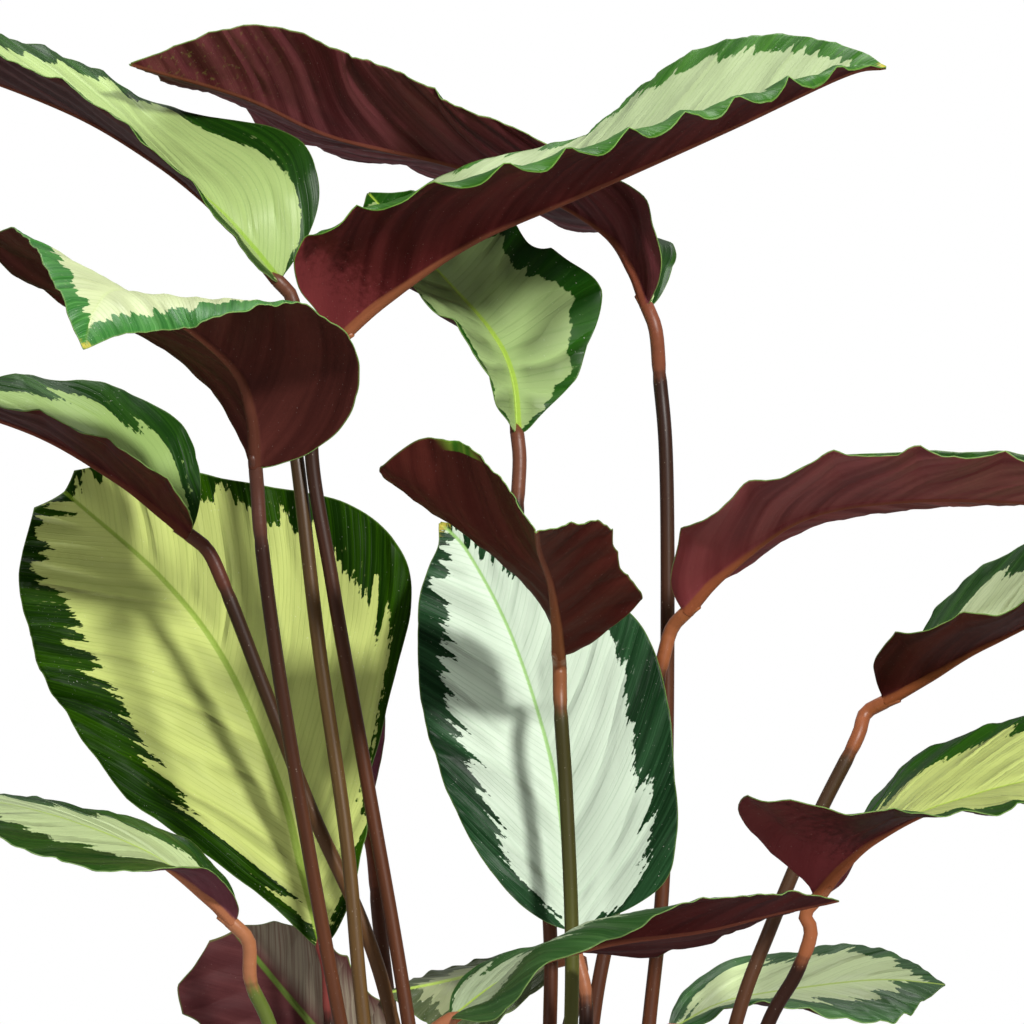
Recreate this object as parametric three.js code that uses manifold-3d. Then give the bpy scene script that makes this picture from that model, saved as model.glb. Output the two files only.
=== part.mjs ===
import * as THREE from 'three';
import { mergeVertices } from 'three/addons/utils/BufferGeometryUtils.js';
import Module from 'manifold-3d';

// Potted argentea calathea. Millimetres, +Z up, +Y away from the viewer, origin at the centre of
// the pot's underside. Each leaf is a blade and a stalk that meet at the blade's foot, and all the
// stalks stand in plain holes in the soil and end on the rhizome below it.

const wasm = await Module();
wasm.setup();

// Pot and soil
const potHeight = 165;
const potTopRadius = 95;
const potFootRadius = 70;
const potWall = 2.2;
const potFloor = 3;
const rimDrop = 14;
const rimOverhang = 3.5;
const drainHoleRadius = 5;
const drainHoleCircle = 46;
const drainHoleCount = 8;
const soilLevel = 148;
const soilMound = 5;
const gap = 0.3;
const bladeGap = 0.4;

// Rhizome under the soil
const crownTop = 118;
const crownRadius = 52;
const crownDepth = 24;

// Leaf blades and stalks
const bladeThickness = 0.8;
const ribDepth = 1.5;
const footHalfWidth = 2.2;
const veinSweep = 0.28;
const sweepStart = 0.35;
const lobesPerSide = 8;
const lobeDepth = 2.6;
const stationsPerLobe = 2;
const firstStation = 0.02;
const columnShares = [0, 0.05, 0.53, 1];
const curledShares = [0, 0.05, 0.3, 0.55, 0.78, 1];
const sheathRadius = 4.2;
const stalkRadius = 2.5;
const pulvinusRadius = 2.9;
const footRise = 14;
const bladeApproach = 8;
const stalkSides = 8;
const stalkRingSpacing = 24;

// Steps along a blade are even in u ** footCrowding, so that they crowd towards its foot
const footCrowding = 0.75;

// Share of the half width at such steps from the blade's foot to its tip
const commonOutline = [0.04, 0.55, 0.83, 0.96, 1, 0.97, 0.84, 0.54, 0.015];

// The leaves. `foot` is where the stalk leaves the crown, `stalk` the points it passes, `rib` the
// midrib from foot to tip. `left` and `right` say which way the two halves run from the rib, as
// seen on the upper face with the tip up, at steps along it. `half` is the half width, and `curl`
// bends a half in radians, towards the upper face where positive; each is a number or a list of
// steps. `lobes` scales the waves of each margin, and `lobeCount` is how many there are.
const leaves = [
  {
    name: '01', color: '#5f8a4a', foot: [-32, -6],
    stalk: [[-58, -12, 317], [-64, -10, 380], [-74, -6, 450], [-81, -2, 510], [-86, 8, 548]],
    rib: [[-88.5, 15, 577], [-99, 12, 590], [-112.5, 8, 604.5], [-132, 2, 619.5], [-161, -4, 636],
      [-205, -8, 652], [-250, -6, 662]],
    left: [[-0.2, -1, -0.1], [0, -1, 0], [0, -1, 0.2], [0, -1, 0.15]],
    right: [[0.95, 0.2, 0.1], [0.75, 0.35, 0.6], [0.3, 0.9, 0.2], [0.1, 0.98, 0.27],
      [0.1, 0.98, 0.3], [0.1, 0.97, 0.3], [0.1, 0.97, 0.3]],
    half: [[2, 18, 36, 46, 50, 48, 42, 27, 0.8], [2, 32, 44, 48, 50, 48.5, 42, 27, 0.8]],
    curl: [0, 0.1],
    lobes: [0.6, 0.5],
  },
  {
    name: '02', color: '#5b2a30', foot: [22, 14],
    stalk: [[41.8, 18, 317], [46.5, 18, 365], [48.2, 18, 450], [47.5, 20, 520], [45.5, 22, 543]],
    rib: [[41, 22, 568], [36, 26, 581], [26, 36, 595], [0, 52, 610], [-30, 56, 619],
      [-70, 46, 628], [-101, 30, 641.5], [-140, 6, 652.5]],
    left: [[0.5, -0.85, 0.1], [0.4, -0.9, 0.1], [0.1, -0.88, 0.43], [0.1, -0.76, 0.66],
      [0.15, -0.7, 0.7]],
    right: [[0.7, 0.7, 0.1], [0.5, 0.85, 0.1], [0.1, 0.95, -0.25], [0, 0.97, -0.2],
      [0, 0.98, -0.17], [0, 0.98, -0.14], [0, 1, -0.06]],
    half: [[2, 26, 30, 40, 46, 47, 40, 31, 0.8], [2, 20, 36, 44, 46, 44.5, 38.5, 25, 0.7]],
    curl: [0, 0.2],
    lobes: [0.3, 1.2], lobeCount: 9,
  },
  {
    name: '03', color: '#6b3340', foot: [-18, -6],
    stalk: [[-42.5, -5, 317], [-56.7, -5, 400], [-69, -7, 470], [-76.5, -7, 522], [-72, -8, 545]],
    rib: [[-66.5, -8, 556.5], [-50, -15, 570.5], [-20, -28, 590.5], [20, -38, 607.5],
      [70, -44, 629.5], [110, -46, 648], [124, -46, 650.5]],
    left: [[-0.4, 0.8, 0.45], [-0.28, 0.82, 0.47], [-0.22, 0.88, 0.3], [-0.22, 0.75, 0.64],
      [-0.25, 0.7, 0.6]],
    right: [[-0.7, -0.3, 0.7], [-0.5, -0.5, 0.7], [-0.2, -0.8, 0.62], [-0.1, -0.85, 0.55],
      [-0.1, -0.85, 0.5]],
    half: [[2, 27, 41, 48, 50, 49, 45, 31, 0.8], [2, 43, 50, 49, 51, 50, 43, 27, 0.5]],
    curl: [0, -0.7],
    lobes: [0.3, 1.3], lobeCount: 11,
  },
  {
    name: '04', color: '#5a262c', foot: [-30, -20],
    stalk: [[-66, -35, 317], [-77.5, -44, 380], [-89, -53, 450], [-94, -58, 490]],
    rib: [[-95.5, -60, 511], [-97, -64, 530], [-103, -72, 546], [-122, -98, 562],
      [-142, -132, 572], [-150, -160, 565], [-153.5, -176, 552]],
    left: [[0.98, -0.1, 0.1], [0.97, -0.15, 0.15], [0.95, -0.25, 0.25], [0.92, -0.35, 0.3],
      [0.9, -0.4, 0.1], [0.8, -0.5, -0.15], [0.6, -0.4, -0.3]],
    right: [[-0.5, 0.85, -0.1], [-0.5, 0.85, 0], [-0.8, 0.5, 0.2], [-0.85, 0.2, 0.5],
      [-0.7, 0, 0.5]],
    half: [[2, 31, 47, 54, 54, 49, 38, 21, 0.5], [2, 11, 34, 48, 62, 66, 36, 16, 0.5]],
    curl: [-0.6, 0],
    lobes: [0.4, 0.8],
  },
  {
    name: '05', color: '#6f9a58', foot: [-14, 10],
    stalk: [[-48, 10, 317], [-58, 9, 350], [-76, 6, 390], [-91.5, 3, 430], [-107, 0, 470]],
    rib: [[-119.5, -2, 488], [-128, -4, 495], [-145, -8, 508], [-175, -14, 524.5],
      [-215, -20, 535], [-270, -22, 540]],
    left: [[0.3, -0.9, 0.3], [0.1, -0.95, 0.28], [0, -0.97, 0.16], [0, -1, 0.02], [0, -1, 0]],
    right: [[0.9, 0.3, 0.1], [0.75, 0.6, 0.25], [0.25, 0.92, 0.2], [0.15, 0.97, 0.1],
      [0.1, 0.97, 0.1]],
    half: [42, 44],
    curl: [0, 0],
  },
  {
    name: '06', color: '#9cb557', foot: [-34, 12],
    stalk: [[-64, 25, 270], [-70, 26, 317]],
    rib: [[-73, 25, 344], [-80, 28, 370], [-88, 32, 400], [-107, 40, 443], [-130, 48, 473],
      [-164, 58, 503]],
    left: [[-1, -0.2, -0.3], [-1, -0.2, -0.3]],
    right: [[1, -0.2, 0.3], [1, -0.15, 0.3]],
    half: [[2, 7, 14, 26, 43, 53, 58, 59.5, 59, 55, 47, 36, 12],
      [2, 10, 18, 25, 30, 46, 65, 73, 66, 49, 36, 26, 8]],
    curl: [0, 0],
    lobes: [0.5, 0.5],
  },
  {
    name: '07', color: '#7fa866', foot: [-2, 8],
    stalk: [[7, 14, 317], [7, 15, 350], [0, 19, 430], [-4.5, 22, 490]],
    rib: [[-4.5, 27, 523.5], [-6.5, 31, 543], [-14, 38, 559], [-33, 52, 581], [-57, 66, 608]],
    left: [[-0.35, -0.9, -0.1], [-0.3, -0.9, -0.1], [-0.4, -0.85, -0.2]],
    right: [[0.95, 0, 0.1], [0.92, -0.1, 0.3], [0.85, -0.1, 0.5]],
    half: [[2, 16, 28, 36, 40, 38, 32, 20, 0.5], [2, 11, 26, 41, 33, 30, 24, 15, 0.5]],
    curl: [0, 0],
  },
  {
    name: '08', color: '#55252b', foot: [6, -22],
    stalk: [[14.3, -35, 317], [14.5, -36, 350], [12.4, -37, 400], [10.5, -38, 430]],
    rib: [[10, -40, 446], [9, -62, 458], [7, -88, 471], [3, -120, 482], [2, -150, 489]],
    left: [[1, 0.1, 0], [1, 0, 0], [1, 0, 0.05], [0.98, 0, 0.12], [0.95, 0, 0.3], [0.9, 0, 0.4],
      [0.9, 0, 0.4]],
    right: [[-0.3, 0.4, 0.85], [-0.22, 0.45, 0.86], [-0.5, 0.35, 0.79], [-0.68, 0.2, 0.66],
      [-0.83, 0.15, 0.53], [-0.83, 0.1, 0.54], [-0.63, 0.1, 0.76], [-0.5, 0.1, 0.85],
      [-0.5, 0.1, 0.85]],
    half: [[2, 11, 20, 31, 26, 25.5, 26, 16, 0.5], [2, 19, 31, 48, 65, 66, 52, 27, 0.5]],
    curl: [0, 0],
    lobes: [0.6, 0.4],
  },
  {
    name: '09', color: '#a9c4a4', foot: [8, -8],
    stalk: [[19, -14, 305], [19.3, -14, 328]],
    rib: [[15, -12, 350], [10, -8, 395], [3, -2, 425], [-8, 4, 456], [-22, 8, 482],
      [-31.5, 9, 492]],
    left: [[-1, -0.25, -0.1], [-1, -0.2, -0.2], [-1, -0.2, -0.3]],
    right: [[1, -0.15, 0.1], [1, -0.15, 0.15], [1, -0.15, 0.3]],
    half: [[2.2, 18, 30, 38, 40, 38.5, 32.5, 22, 0.5], [2.2, 32, 40, 42, 45, 44, 32, 15, 0.5]],
    curl: [0, 0],
    lobes: [0.4, 0.4],
  },
  {
    name: '10', color: '#6a323c', foot: [10, 6],
    stalk: [[22, 3, 317], [30, 5, 360], [47, 4, 446]],
    rib: [[55, 0, 461], [68, -10, 475], [95, -25, 494], [130, -42, 500], [180, -60, 499],
      [243, -72, 494]],
    left: [[-0.2, 0.9, -0.4], [0, 0.8, -0.6], [0, 0.87, -0.45], [0, 0.97, -0.2], [0, 0.97, -0.15]],
    right: [[-0.6, -0.4, 0.6], [-0.45, -0.8, 0.33], [-0.05, -0.93, 0.32], [0, -0.93, 0.33],
      [0, -0.93, 0.33]],
    half: [48, [2, 19, 36, 42.5, 50, 47, 41, 27, 0.5]],
    curl: [[1.5, 2.2, 1.8, 1.2, 1], 0],
    lobes: [0.3, 1.3],
  },
  {
    name: '11', color: '#6a323c', foot: [34, 0],
    stalk: [[72, -6, 317], [84, -5, 350], [101, -4, 390], [115, -2, 418]],
    rib: [[124.5, 0, 429.5], [140, -5, 438.5], [160, -10, 450], [200, -18, 466], [265, -22, 474]],
    left: [[-0.1, 0.95, 0.2], [-0.2, 0.85, 0.4], [-0.3, 0.75, 0.55], [-0.15, 0.8, 0.5],
      [0, 0.88, 0.35]],
    right: [[-0.9, -0.3, 0.6], [-0.5, -0.82, 0.25], [0, -0.97, 0.15], [0, -0.98, 0.12],
      [0, -1, 0.1]],
    half: [[2, 33, 42, 42, 39.5, 39, 36, 24, 0.7], 44],
    curl: [0, 0],
    lobes: [0.4, 1.2],
  },
  {
    name: '12', color: '#a8bf66', foot: [32, -16],
    stalk: [[83, -28, 317], [93, -30, 335], [98, -33, 350]],
    rib: [[101, -35, 362], [108, -37, 371], [120, -40, 382], [145, -45, 394], [190, -54, 404],
      [260, -62, 400]],
    left: [[0.3, 0.9, -0.2], [-0.05, 0.92, 0.3], [-0.2, 0.85, 0.43], [-0.1, 0.87, 0.38],
      [0, 0.9, 0.3]],
    right: [[-0.95, 0.1, 0.55], [-0.4, -0.88, 0.08], [-0.1, -0.97, -0.18], [0, -1, -0.08],
      [0, -1, 0]],
    half: [[2, 31, 43, 44.5, 43, 42, 38, 25, 0.7], [2, 52, 49, 46, 46, 45, 38, 24, 0.5]],
    curl: [0, 0],
    lobes: [0.4, 1.2], lobeCount: 9,
  },
  {
    name: '13', color: '#55303a', foot: [-10, -26],
    stalk: [[-20, -55, 230], [-26, -74, 290]],
    rib: [[-27, -78, 320], [-13, -80, 331], [4, -82, 340], [28, -84, 346.2], [60, -87, 350.5],
      [85, -90, 356.5], [107, -92, 361]],
    left: [[-0.7, 0.6, 0.1], [-0.7, 0.7, -0.1], [-0.5, 0.8, -0.05], [-0.3, 0.93, 0],
      [0, 0.97, -0.2], [0, 0.97, -0.16], [0, 0.98, -0.06], [0, 0.98, -0.02], [0, 1, -0.05]],
    right: [[-0.3, -0.9, -0.1], [0.1, -0.95, -0.1], [0, -0.8, 0.5], [0, -0.5, 0.87],
      [0, -0.8, 0.6], [0, -0.89, 0.45], [0, -0.9, 0.4]],
    half: [[2, 17, 25, 29, 32, 34, 31, 21, 0.5], [2, 20, 28, 32, 34, 34, 32, 22, 0.5]],
    curl: [0, [-0.3, -0.5, -1.2, -2, -0.6, -0.3, 0]],
    lobes: [0.4, 0.5],
  },
  {
    name: '14', color: '#6f9a62', foot: [22, 30],
    stalk: [[34, 35, 230], [42, 38, 280]],
    rib: [[50, 40, 314], [65, 44, 322], [80, 46, 326], [120, 50, 331], [146, 50, 329.5]],
    left: [[0.1, 0.85, 0.5], [0.1, 0.88, 0.45], [0, 0.92, 0.33], [0, 0.93, 0.33], [0, 0.95, 0.25]],
    right: [[0.1, -0.95, -0.1], [0.1, -0.95, -0.1], [0, -0.97, -0.08], [0, -0.97, -0.12],
      [0, -0.95, -0.24], [0, -0.92, -0.38], [0, -0.9, -0.42], [0, -0.9, -0.4], [0, -0.9, -0.3]],
    half: [[2, 13, 25, 34, 37, 39, 34, 20, 0.5], [2, 17, 27, 32, 34, 35, 33, 22, 0.5]],
    curl: [0, 0],
    lobes: [0.3, 0.7],
  },
  {
    name: '15', color: '#6a3040', foot: [-26, 24],
    stalk: [[-40, 40, 230], [-46, 44, 265]],
    rib: [[-50, 45, 290], [-68, 47, 306], [-83, 47, 323], [-97, 44, 340], [-104, 42, 349]],
    left: [[0.75, -0.2, 0.6], [0.75, -0.2, 0.6]],
    right: [[-0.75, -0.2, -0.6], [-0.75, -0.2, -0.6]],
    half: [[2, 14, 21, 24, 25, 25, 23, 16, 2], [2, 20, 30, 35, 35, 34, 31.5, 31, 9]],
    curl: [0, 0],
  },
  {
    name: '16', color: '#5f8a4a', foot: [-42, -14],
    stalk: [[-78, -22, 260], [-91, -25, 317], [-97.5, -29, 332]],
    rib: [[-104, -35, 352.5], [-112, -38, 361], [-135, -44, 378], [-175, -52, 392.5],
      [-225, -58, 399.5], [-262, -60, 400]],
    left: [[0.85, -0.4, 0.5], [0.3, -0.9, 0.35], [0, -0.96, -0.2], [0, -0.93, -0.34],
      [0, -0.98, -0.2], [0, -1, -0.1], [0, -1, -0.1]],
    right: [[0.5, 0.8, 0.25], [0.2, 0.95, 0.08], [0, 1, 0.02], [0, 1, 0]],
    half: [[2, 13, 29, 40, 42, 41, 36, 23, 0.7], 40],
    curl: [0, 0],
    lobes: [0.5, 0.5],
  },
  {
    name: '17', color: '#5b6b5c', foot: [0, 22],
    stalk: [[8, 26, 240], [10.7, 30, 300]],
    rib: [[9, 36, 338], [-8, 38, 336], [-30, 38, 331], [-50, 36, 327]],
    left: [[0, -0.6, -0.8], [0, -0.6, -0.8]],
    right: [[0, 0.97, 0.2], [0, 0.97, 0.2]],
    half: [[2, 10, 16, 22, 26, 26, 20, 11, 0.5], [2, 11, 17, 20, 21, 20, 17, 10, 0.5]],
    curl: [0, 0],
    lobes: [0.6, 0.4],
  },
  {
    name: '18', color: '#7a3d52', foot: [-12, 26],
    stalk: [[-34, 44, 240], [-46, 56, 300], [-53, 68, 350]],
    rib: [[-58, 75, 386], [-65, 80, 410], [-75, 86, 438], [-90, 90, 470]],
    left: [[0.95, -0.1, 0.1], [0.95, -0.1, 0.3]],
    right: [[-0.95, -0.1, -0.1], [-0.95, -0.1, -0.3]],
    half: [[2, 4, 9, 15.5, 19, 19, 16, 10, 0.5], 30],
    curl: [0, 0],
  },
];

function vector(values) {
  return new THREE.Vector3(...values);
}

// A smooth curve through numbers at steps along a blade, read at share u of its length
function smoothNumber(list, u) {
  const place = Math.min(Math.max(u, 0), 1) ** footCrowding * (list.length - 1);
  const step = Math.min(Math.floor(place), list.length - 2);
  const t = place - step;
  const at = (i) => {
    if (i < 0) return 2 * list[0] - list[1];
    if (i >= list.length) return 2 * list[list.length - 1] - list[list.length - 2];
    return list[i];
  };
  const [a, b, c, d] = [at(step - 1), at(step), at(step + 1), at(step + 2)];
  const slopeIn = (c - a) / 2;
  const slopeOut = (d - b) / 2;
  return b + slopeIn * t + (3 * (c - b) - 2 * slopeIn - slopeOut) * t ** 2
    + (2 * (b - c) + slopeIn + slopeOut) * t ** 3;
}

function smoothVector(list, u) {
  return vector([0, 1, 2].map((axis) => smoothNumber(list.map((item) => item[axis]), u)));
}

function ribCurveOf(leaf) {
  return new THREE.CatmullRomCurve3(leaf.rib.map(vector), false, 'catmullrom', 0.5);
}

// Half width of one half of a blade at share u of its length
function halfWidth(half, u) {
  const width = Array.isArray(half)
    ? smoothNumber(half, u)
    : half * smoothNumber(commonOutline, u);
  return Math.max(width, u < 0.5 ? footHalfWidth : 0.5);
}

// A point of the blade's middle surface. The section runs out from the rib, curls, is swept
// towards the tip as the veins are, and its margin rises and falls in shallow lobes.
function bladePoint(leaf, ribCurve, u, side, share) {
  const along = ribCurve.getTangentAt(u);
  const out = smoothVector(side === 0 ? leaf.left : leaf.right, u);
  out.addScaledVector(along, -out.dot(along)).normalize();
  const up = side === 0
    ? new THREE.Vector3().crossVectors(along, out)
    : new THREE.Vector3().crossVectors(out, along);
  const width = halfWidth(leaf.half[side], u);
  const curl = Array.isArray(leaf.curl[side])
    ? smoothNumber(leaf.curl[side], u)
    : leaf.curl[side];
  const turn = curl * share;
  const reach = Math.abs(turn) < 1e-4 ? share : Math.sin(turn) / curl;
  const rise = Math.abs(turn) < 1e-4 ? 0 : (1 - Math.cos(turn)) / curl;
  const sweep = veinSweep * Math.min(1, u / sweepStart);
  const lobe = lobeDepth * (leaf.lobes ? leaf.lobes[side] : 1) * Math.min(1, width / 25);
  const lobeCount = leaf.lobeCount ?? lobesPerSide;
  const wave = lobe * (0.5 - Math.abs(Math.sin(Math.PI * lobeCount * u))) * share ** 2;
  return ribCurve.getPointAt(u)
    .addScaledVector(out, width * reach)
    .addScaledVector(up, width * rise + wave)
    .addScaledVector(along, sweep * width * share ** 1.5);
}

function solidGeometry(points, faces) {
  const geometry = new THREE.BufferGeometry();
  geometry.setAttribute('position', new THREE.Float32BufferAttribute(points.flat(), 3));
  geometry.setIndex(faces.flat());
  return geometry;
}

// The blade: an upper and a lower face split alike, a rim between them, and the midrib standing
// out below
function bladeGeometry(leaf) {
  const ribCurve = ribCurveOf(leaf);
  const shares = leaf.curl.some(Array.isArray) ? curledShares : columnShares;
  const columns = [
    ...shares.slice(1).reverse().map((share) => [0, share]),
    ...shares.map((share) => [1, share]),
  ];
  const stations = [0, firstStation];
  const steps = stationsPerLobe * (leaf.lobeCount ?? lobesPerSide);
  for (let step = 1; step <= steps; step += 1) stations.push(step / steps);
  const grid = stations.map((u) => (
    columns.map(([side, share]) => bladePoint(leaf, ribCurve, u, side, share))
  ));
  const rows = stations.length - 1;
  const last = columns.length - 1;
  const middle = shares.length - 1;
  const points = [];
  grid.forEach((line, row) => {
    line.forEach((point, column) => {
      const across = line[Math.min(column + 1, last)].clone().sub(line[Math.max(column - 1, 0)]);
      const along = grid[Math.min(row + 1, rows)][column].clone()
        .sub(grid[Math.max(row - 1, 0)][column]);
      const normal = across.cross(along).normalize();
      const rib = column === middle ? ribDepth * (1 - 0.8 * stations[row]) : 0;
      points.push(point.clone().addScaledVector(normal, bladeThickness / 2).toArray());
      points.push(point.clone().addScaledVector(normal, -bladeThickness / 2 - rib).toArray());
    });
  });
  const upper = (row, column) => 2 * (row * (last + 1) + column);
  const lower = (row, column) => upper(row, column) + 1;
  const faces = [];
  const quad = (a, b, c, d) => faces.push([a, b, c], [a, c, d]);
  for (let row = 0; row < rows; row += 1) {
    for (let column = 0; column < last; column += 1) {
      quad(upper(row, column), upper(row, column + 1), upper(row + 1, column + 1),
        upper(row + 1, column));
      faces.push([lower(row, column), lower(row + 1, column + 1), lower(row, column + 1)]);
      faces.push([lower(row, column), lower(row + 1, column), lower(row + 1, column + 1)]);
    }
    quad(upper(row, 0), upper(row + 1, 0), lower(row + 1, 0), lower(row, 0));
    quad(upper(row, last), lower(row, last), lower(row + 1, last), upper(row + 1, last));
  }
  for (let column = 0; column < last; column += 1) {
    quad(upper(0, column), lower(0, column), lower(0, column + 1), upper(0, column + 1));
    quad(upper(rows, column), upper(rows, column + 1), lower(rows, column + 1),
      lower(rows, column));
  }
  return solidGeometry(points, faces);
}

// Radius of a stalk at share u of its length: a sheath at the foot and a thicker joint, the
// pulvinus, just below the blade
function stalkRadiusAt(u, length) {
  const fromFoot = u * length;
  const fromBlade = length - fromFoot;
  const sheath = (sheathRadius - stalkRadius) * Math.max(0, 1 - fromFoot / (0.45 * length));
  const pulvinusLength = Math.min(40, 0.2 * length);
  const swell = Math.max(0, Math.sin(Math.PI * Math.min(1, fromBlade / pulvinusLength)));
  return stalkRadius + sheath + (pulvinusRadius - stalkRadius) * swell;
}

// A stalk stands upright on the crown and runs straight into the foot of the midrib
function stalkCurve(leaf) {
  const ribCurve = ribCurveOf(leaf);
  const end = ribCurve.getPointAt(0).addScaledVector(ribCurve.getTangentAt(0), -bladeGap);
  const approach = end.clone().addScaledVector(ribCurve.getTangentAt(0), -bladeApproach);
  const [x, y] = leaf.foot;
  const path = [[x, y, crownTop + gap], [x, y, crownTop + footRise], ...leaf.stalk].map(vector);
  return new THREE.CatmullRomCurve3([...path, approach, end], false, 'centripetal');
}

function stalkGeometry(leaf, extra) {
  const curve = stalkCurve(leaf);
  const length = curve.getLength();
  const rings = Math.round(length / stalkRingSpacing);
  const frames = curve.computeFrenetFrames(rings, false);
  const points = [];
  for (let ring = 0; ring <= rings; ring += 1) {
    const center = curve.getPointAt(ring / rings);
    const radius = stalkRadiusAt(ring / rings, length) + extra;
    for (let side = 0; side < stalkSides; side += 1) {
      const angle = 2 * Math.PI * side / stalkSides;
      points.push(center.clone()
        .addScaledVector(frames.normals[ring], radius * Math.cos(angle))
        .addScaledVector(frames.binormals[ring], radius * Math.sin(angle)).toArray());
    }
  }
  const footCenter = points.push(curve.getPointAt(0).toArray()) - 1;
  const endCenter = points.push(curve.getPointAt(1).toArray()) - 1;
  const at = (ring, side) => ring * stalkSides + side % stalkSides;
  const faces = [];
  for (let side = 0; side < stalkSides; side += 1) {
    for (let ring = 0; ring < rings; ring += 1) {
      faces.push([at(ring, side), at(ring, side + 1), at(ring + 1, side + 1)]);
      faces.push([at(ring, side), at(ring + 1, side + 1), at(ring + 1, side)]);
    }
    faces.push([footCenter, at(0, side + 1), at(0, side)]);
    faces.push([endCenter, at(rings, side), at(rings, side + 1)]);
  }
  return solidGeometry(points, faces);
}

function solidFrom(geometry) {
  const bare = geometry.clone();
  bare.deleteAttribute('normal');
  bare.deleteAttribute('uv');
  const merged = mergeVertices(bare, 1e-3);
  return new wasm.Manifold(new wasm.Mesh({
    numProp: 3,
    vertProperties: new Float32Array(merged.attributes.position.array),
    triVerts: new Uint32Array(merged.index.array),
  }));
}

function geometryFrom(solid) {
  const mesh = solid.getMesh();
  const geometry = new THREE.BufferGeometry();
  geometry.setAttribute('position', new THREE.BufferAttribute(mesh.vertProperties, 3));
  geometry.setIndex(new THREE.BufferAttribute(mesh.triVerts, 1));
  return geometry;
}

// A solid of revolution about Z from [radius, height] points
function turned(profile, sides) {
  const lathe = new THREE.LatheGeometry(profile.map(([r, z]) => new THREE.Vector2(r, z)), sides);
  lathe.rotateX(Math.PI / 2);
  return lathe;
}

function innerRadius(height) {
  const slope = (potTopRadius - potFootRadius) / potHeight;
  return potFootRadius + slope * height - potWall;
}

function potSolid() {
  const rimOuter = potTopRadius;
  const wallOuter = potTopRadius - rimOverhang;
  let solid = solidFrom(turned([
    [0, 0], [potFootRadius, 0], [wallOuter, potHeight - rimDrop],
    [rimOuter, potHeight - rimDrop + 1], [rimOuter + 1, potHeight - 2], [rimOuter - 1, potHeight],
    [innerRadius(potHeight), potHeight - 1], [innerRadius(potFloor), potFloor], [0, potFloor],
  ], 40));
  for (let hole = 0; hole < drainHoleCount; hole += 1) {
    const angle = 2 * Math.PI * (hole + 0.5) / drainHoleCount;
    const drill = new THREE.CylinderGeometry(drainHoleRadius, drainHoleRadius, 20, 12);
    drill.rotateX(Math.PI / 2);
    drill.translate(drainHoleCircle * Math.cos(angle), drainHoleCircle * Math.sin(angle), 0);
    solid = solid.subtract(solidFrom(drill));
  }
  return solid;
}

// The crown: a flattened knob with a level top that the stalks stand on, and stub roots
function rhizomeSolid(extra) {
  let solid = solidFrom(turned([
    [0, crownTop - crownDepth - extra], [crownRadius * 0.7 + extra, crownTop - crownDepth - extra],
    [crownRadius + extra, crownTop - crownDepth * 0.5], [crownRadius - 4 + extra, crownTop + extra],
    [0, crownTop + extra],
  ], 18));
  const roots = [[0.4, 62], [2.1, 54], [3.6, 66], [5.2, 58]];
  roots.forEach(([angle, length]) => {
    const root = new THREE.CylinderGeometry(4 + extra, 2 + extra, length + 2 * extra, 8);
    root.rotateX(Math.PI / 2);
    root.translate(0, 0, -length / 2);
    root.rotateY(0.35);
    root.rotateZ(angle);
    root.translate(26 * Math.cos(angle), 26 * Math.sin(angle), crownTop - crownDepth + 6);
    solid = solid.add(solidFrom(root));
  });
  return solid;
}

// The filling of the pot, mounded at the middle, with a plain hole for each stalk and the hollow
// that the crown and its roots fill
function soilSolid() {
  const top = [0, 0.3, 0.55, 0.8, 1].map((share) => {
    const radius = share * (innerRadius(soilLevel) - gap);
    return [radius, soilLevel + soilMound * (1 - share ** 2)];
  });
  let solid = solidFrom(turned([
    [0, potFloor + gap], [innerRadius(potFloor + gap) - gap, potFloor + gap], ...top.reverse(),
  ], 40));
  solid = solid.subtract(rhizomeSolid(gap));
  leaves.forEach((leaf) => {
    solid = solid.subtract(solidFrom(stalkGeometry(leaf, gap)));
  });
  return solid;
}

const plant = new THREE.Group();

function addPiece(name, geometry, color, roughness) {
  const material = new THREE.MeshStandardMaterial({ color, roughness, metalness: 0 });
  const mesh = new THREE.Mesh(geometry, material);
  mesh.name = name;
  plant.add(mesh);
}

addPiece('pot', geometryFrom(potSolid()), '#33363a', 0.5);
addPiece('soil', geometryFrom(soilSolid()), '#2d2019', 0.95);
addPiece('rhizome', geometryFrom(rhizomeSolid(0)), '#8a6a48', 0.8);
leaves.forEach((leaf) => {
  addPiece(`stalk_${leaf.name}`, stalkGeometry(leaf, 0), '#5a3226', 0.4);
  addPiece(`blade_${leaf.name}`, bladeGeometry(leaf), leaf.color, 0.35);
});

export default plant;
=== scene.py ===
import math
import bpy
import numpy as np
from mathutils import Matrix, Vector


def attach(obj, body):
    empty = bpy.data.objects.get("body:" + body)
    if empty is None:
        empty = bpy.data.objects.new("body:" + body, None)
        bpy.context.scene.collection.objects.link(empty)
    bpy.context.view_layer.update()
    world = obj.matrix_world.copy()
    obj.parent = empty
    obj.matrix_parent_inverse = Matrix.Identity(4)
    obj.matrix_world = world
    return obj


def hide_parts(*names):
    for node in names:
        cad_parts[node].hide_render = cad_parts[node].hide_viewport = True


# Potted argentea calathea: 18 leaves with silver middles, green margins and maroon undersides.
# Lengths are in millimetres, and in metres for the light and the camera. +Z is up, and the
# viewer looks along +Y.

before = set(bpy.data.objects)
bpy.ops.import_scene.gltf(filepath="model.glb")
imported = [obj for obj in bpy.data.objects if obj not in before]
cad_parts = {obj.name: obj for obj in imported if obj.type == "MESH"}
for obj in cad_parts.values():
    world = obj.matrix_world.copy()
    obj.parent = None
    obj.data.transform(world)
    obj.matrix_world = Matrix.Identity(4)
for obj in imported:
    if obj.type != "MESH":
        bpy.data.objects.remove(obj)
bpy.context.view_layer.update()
toMetres = 0.001

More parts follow.
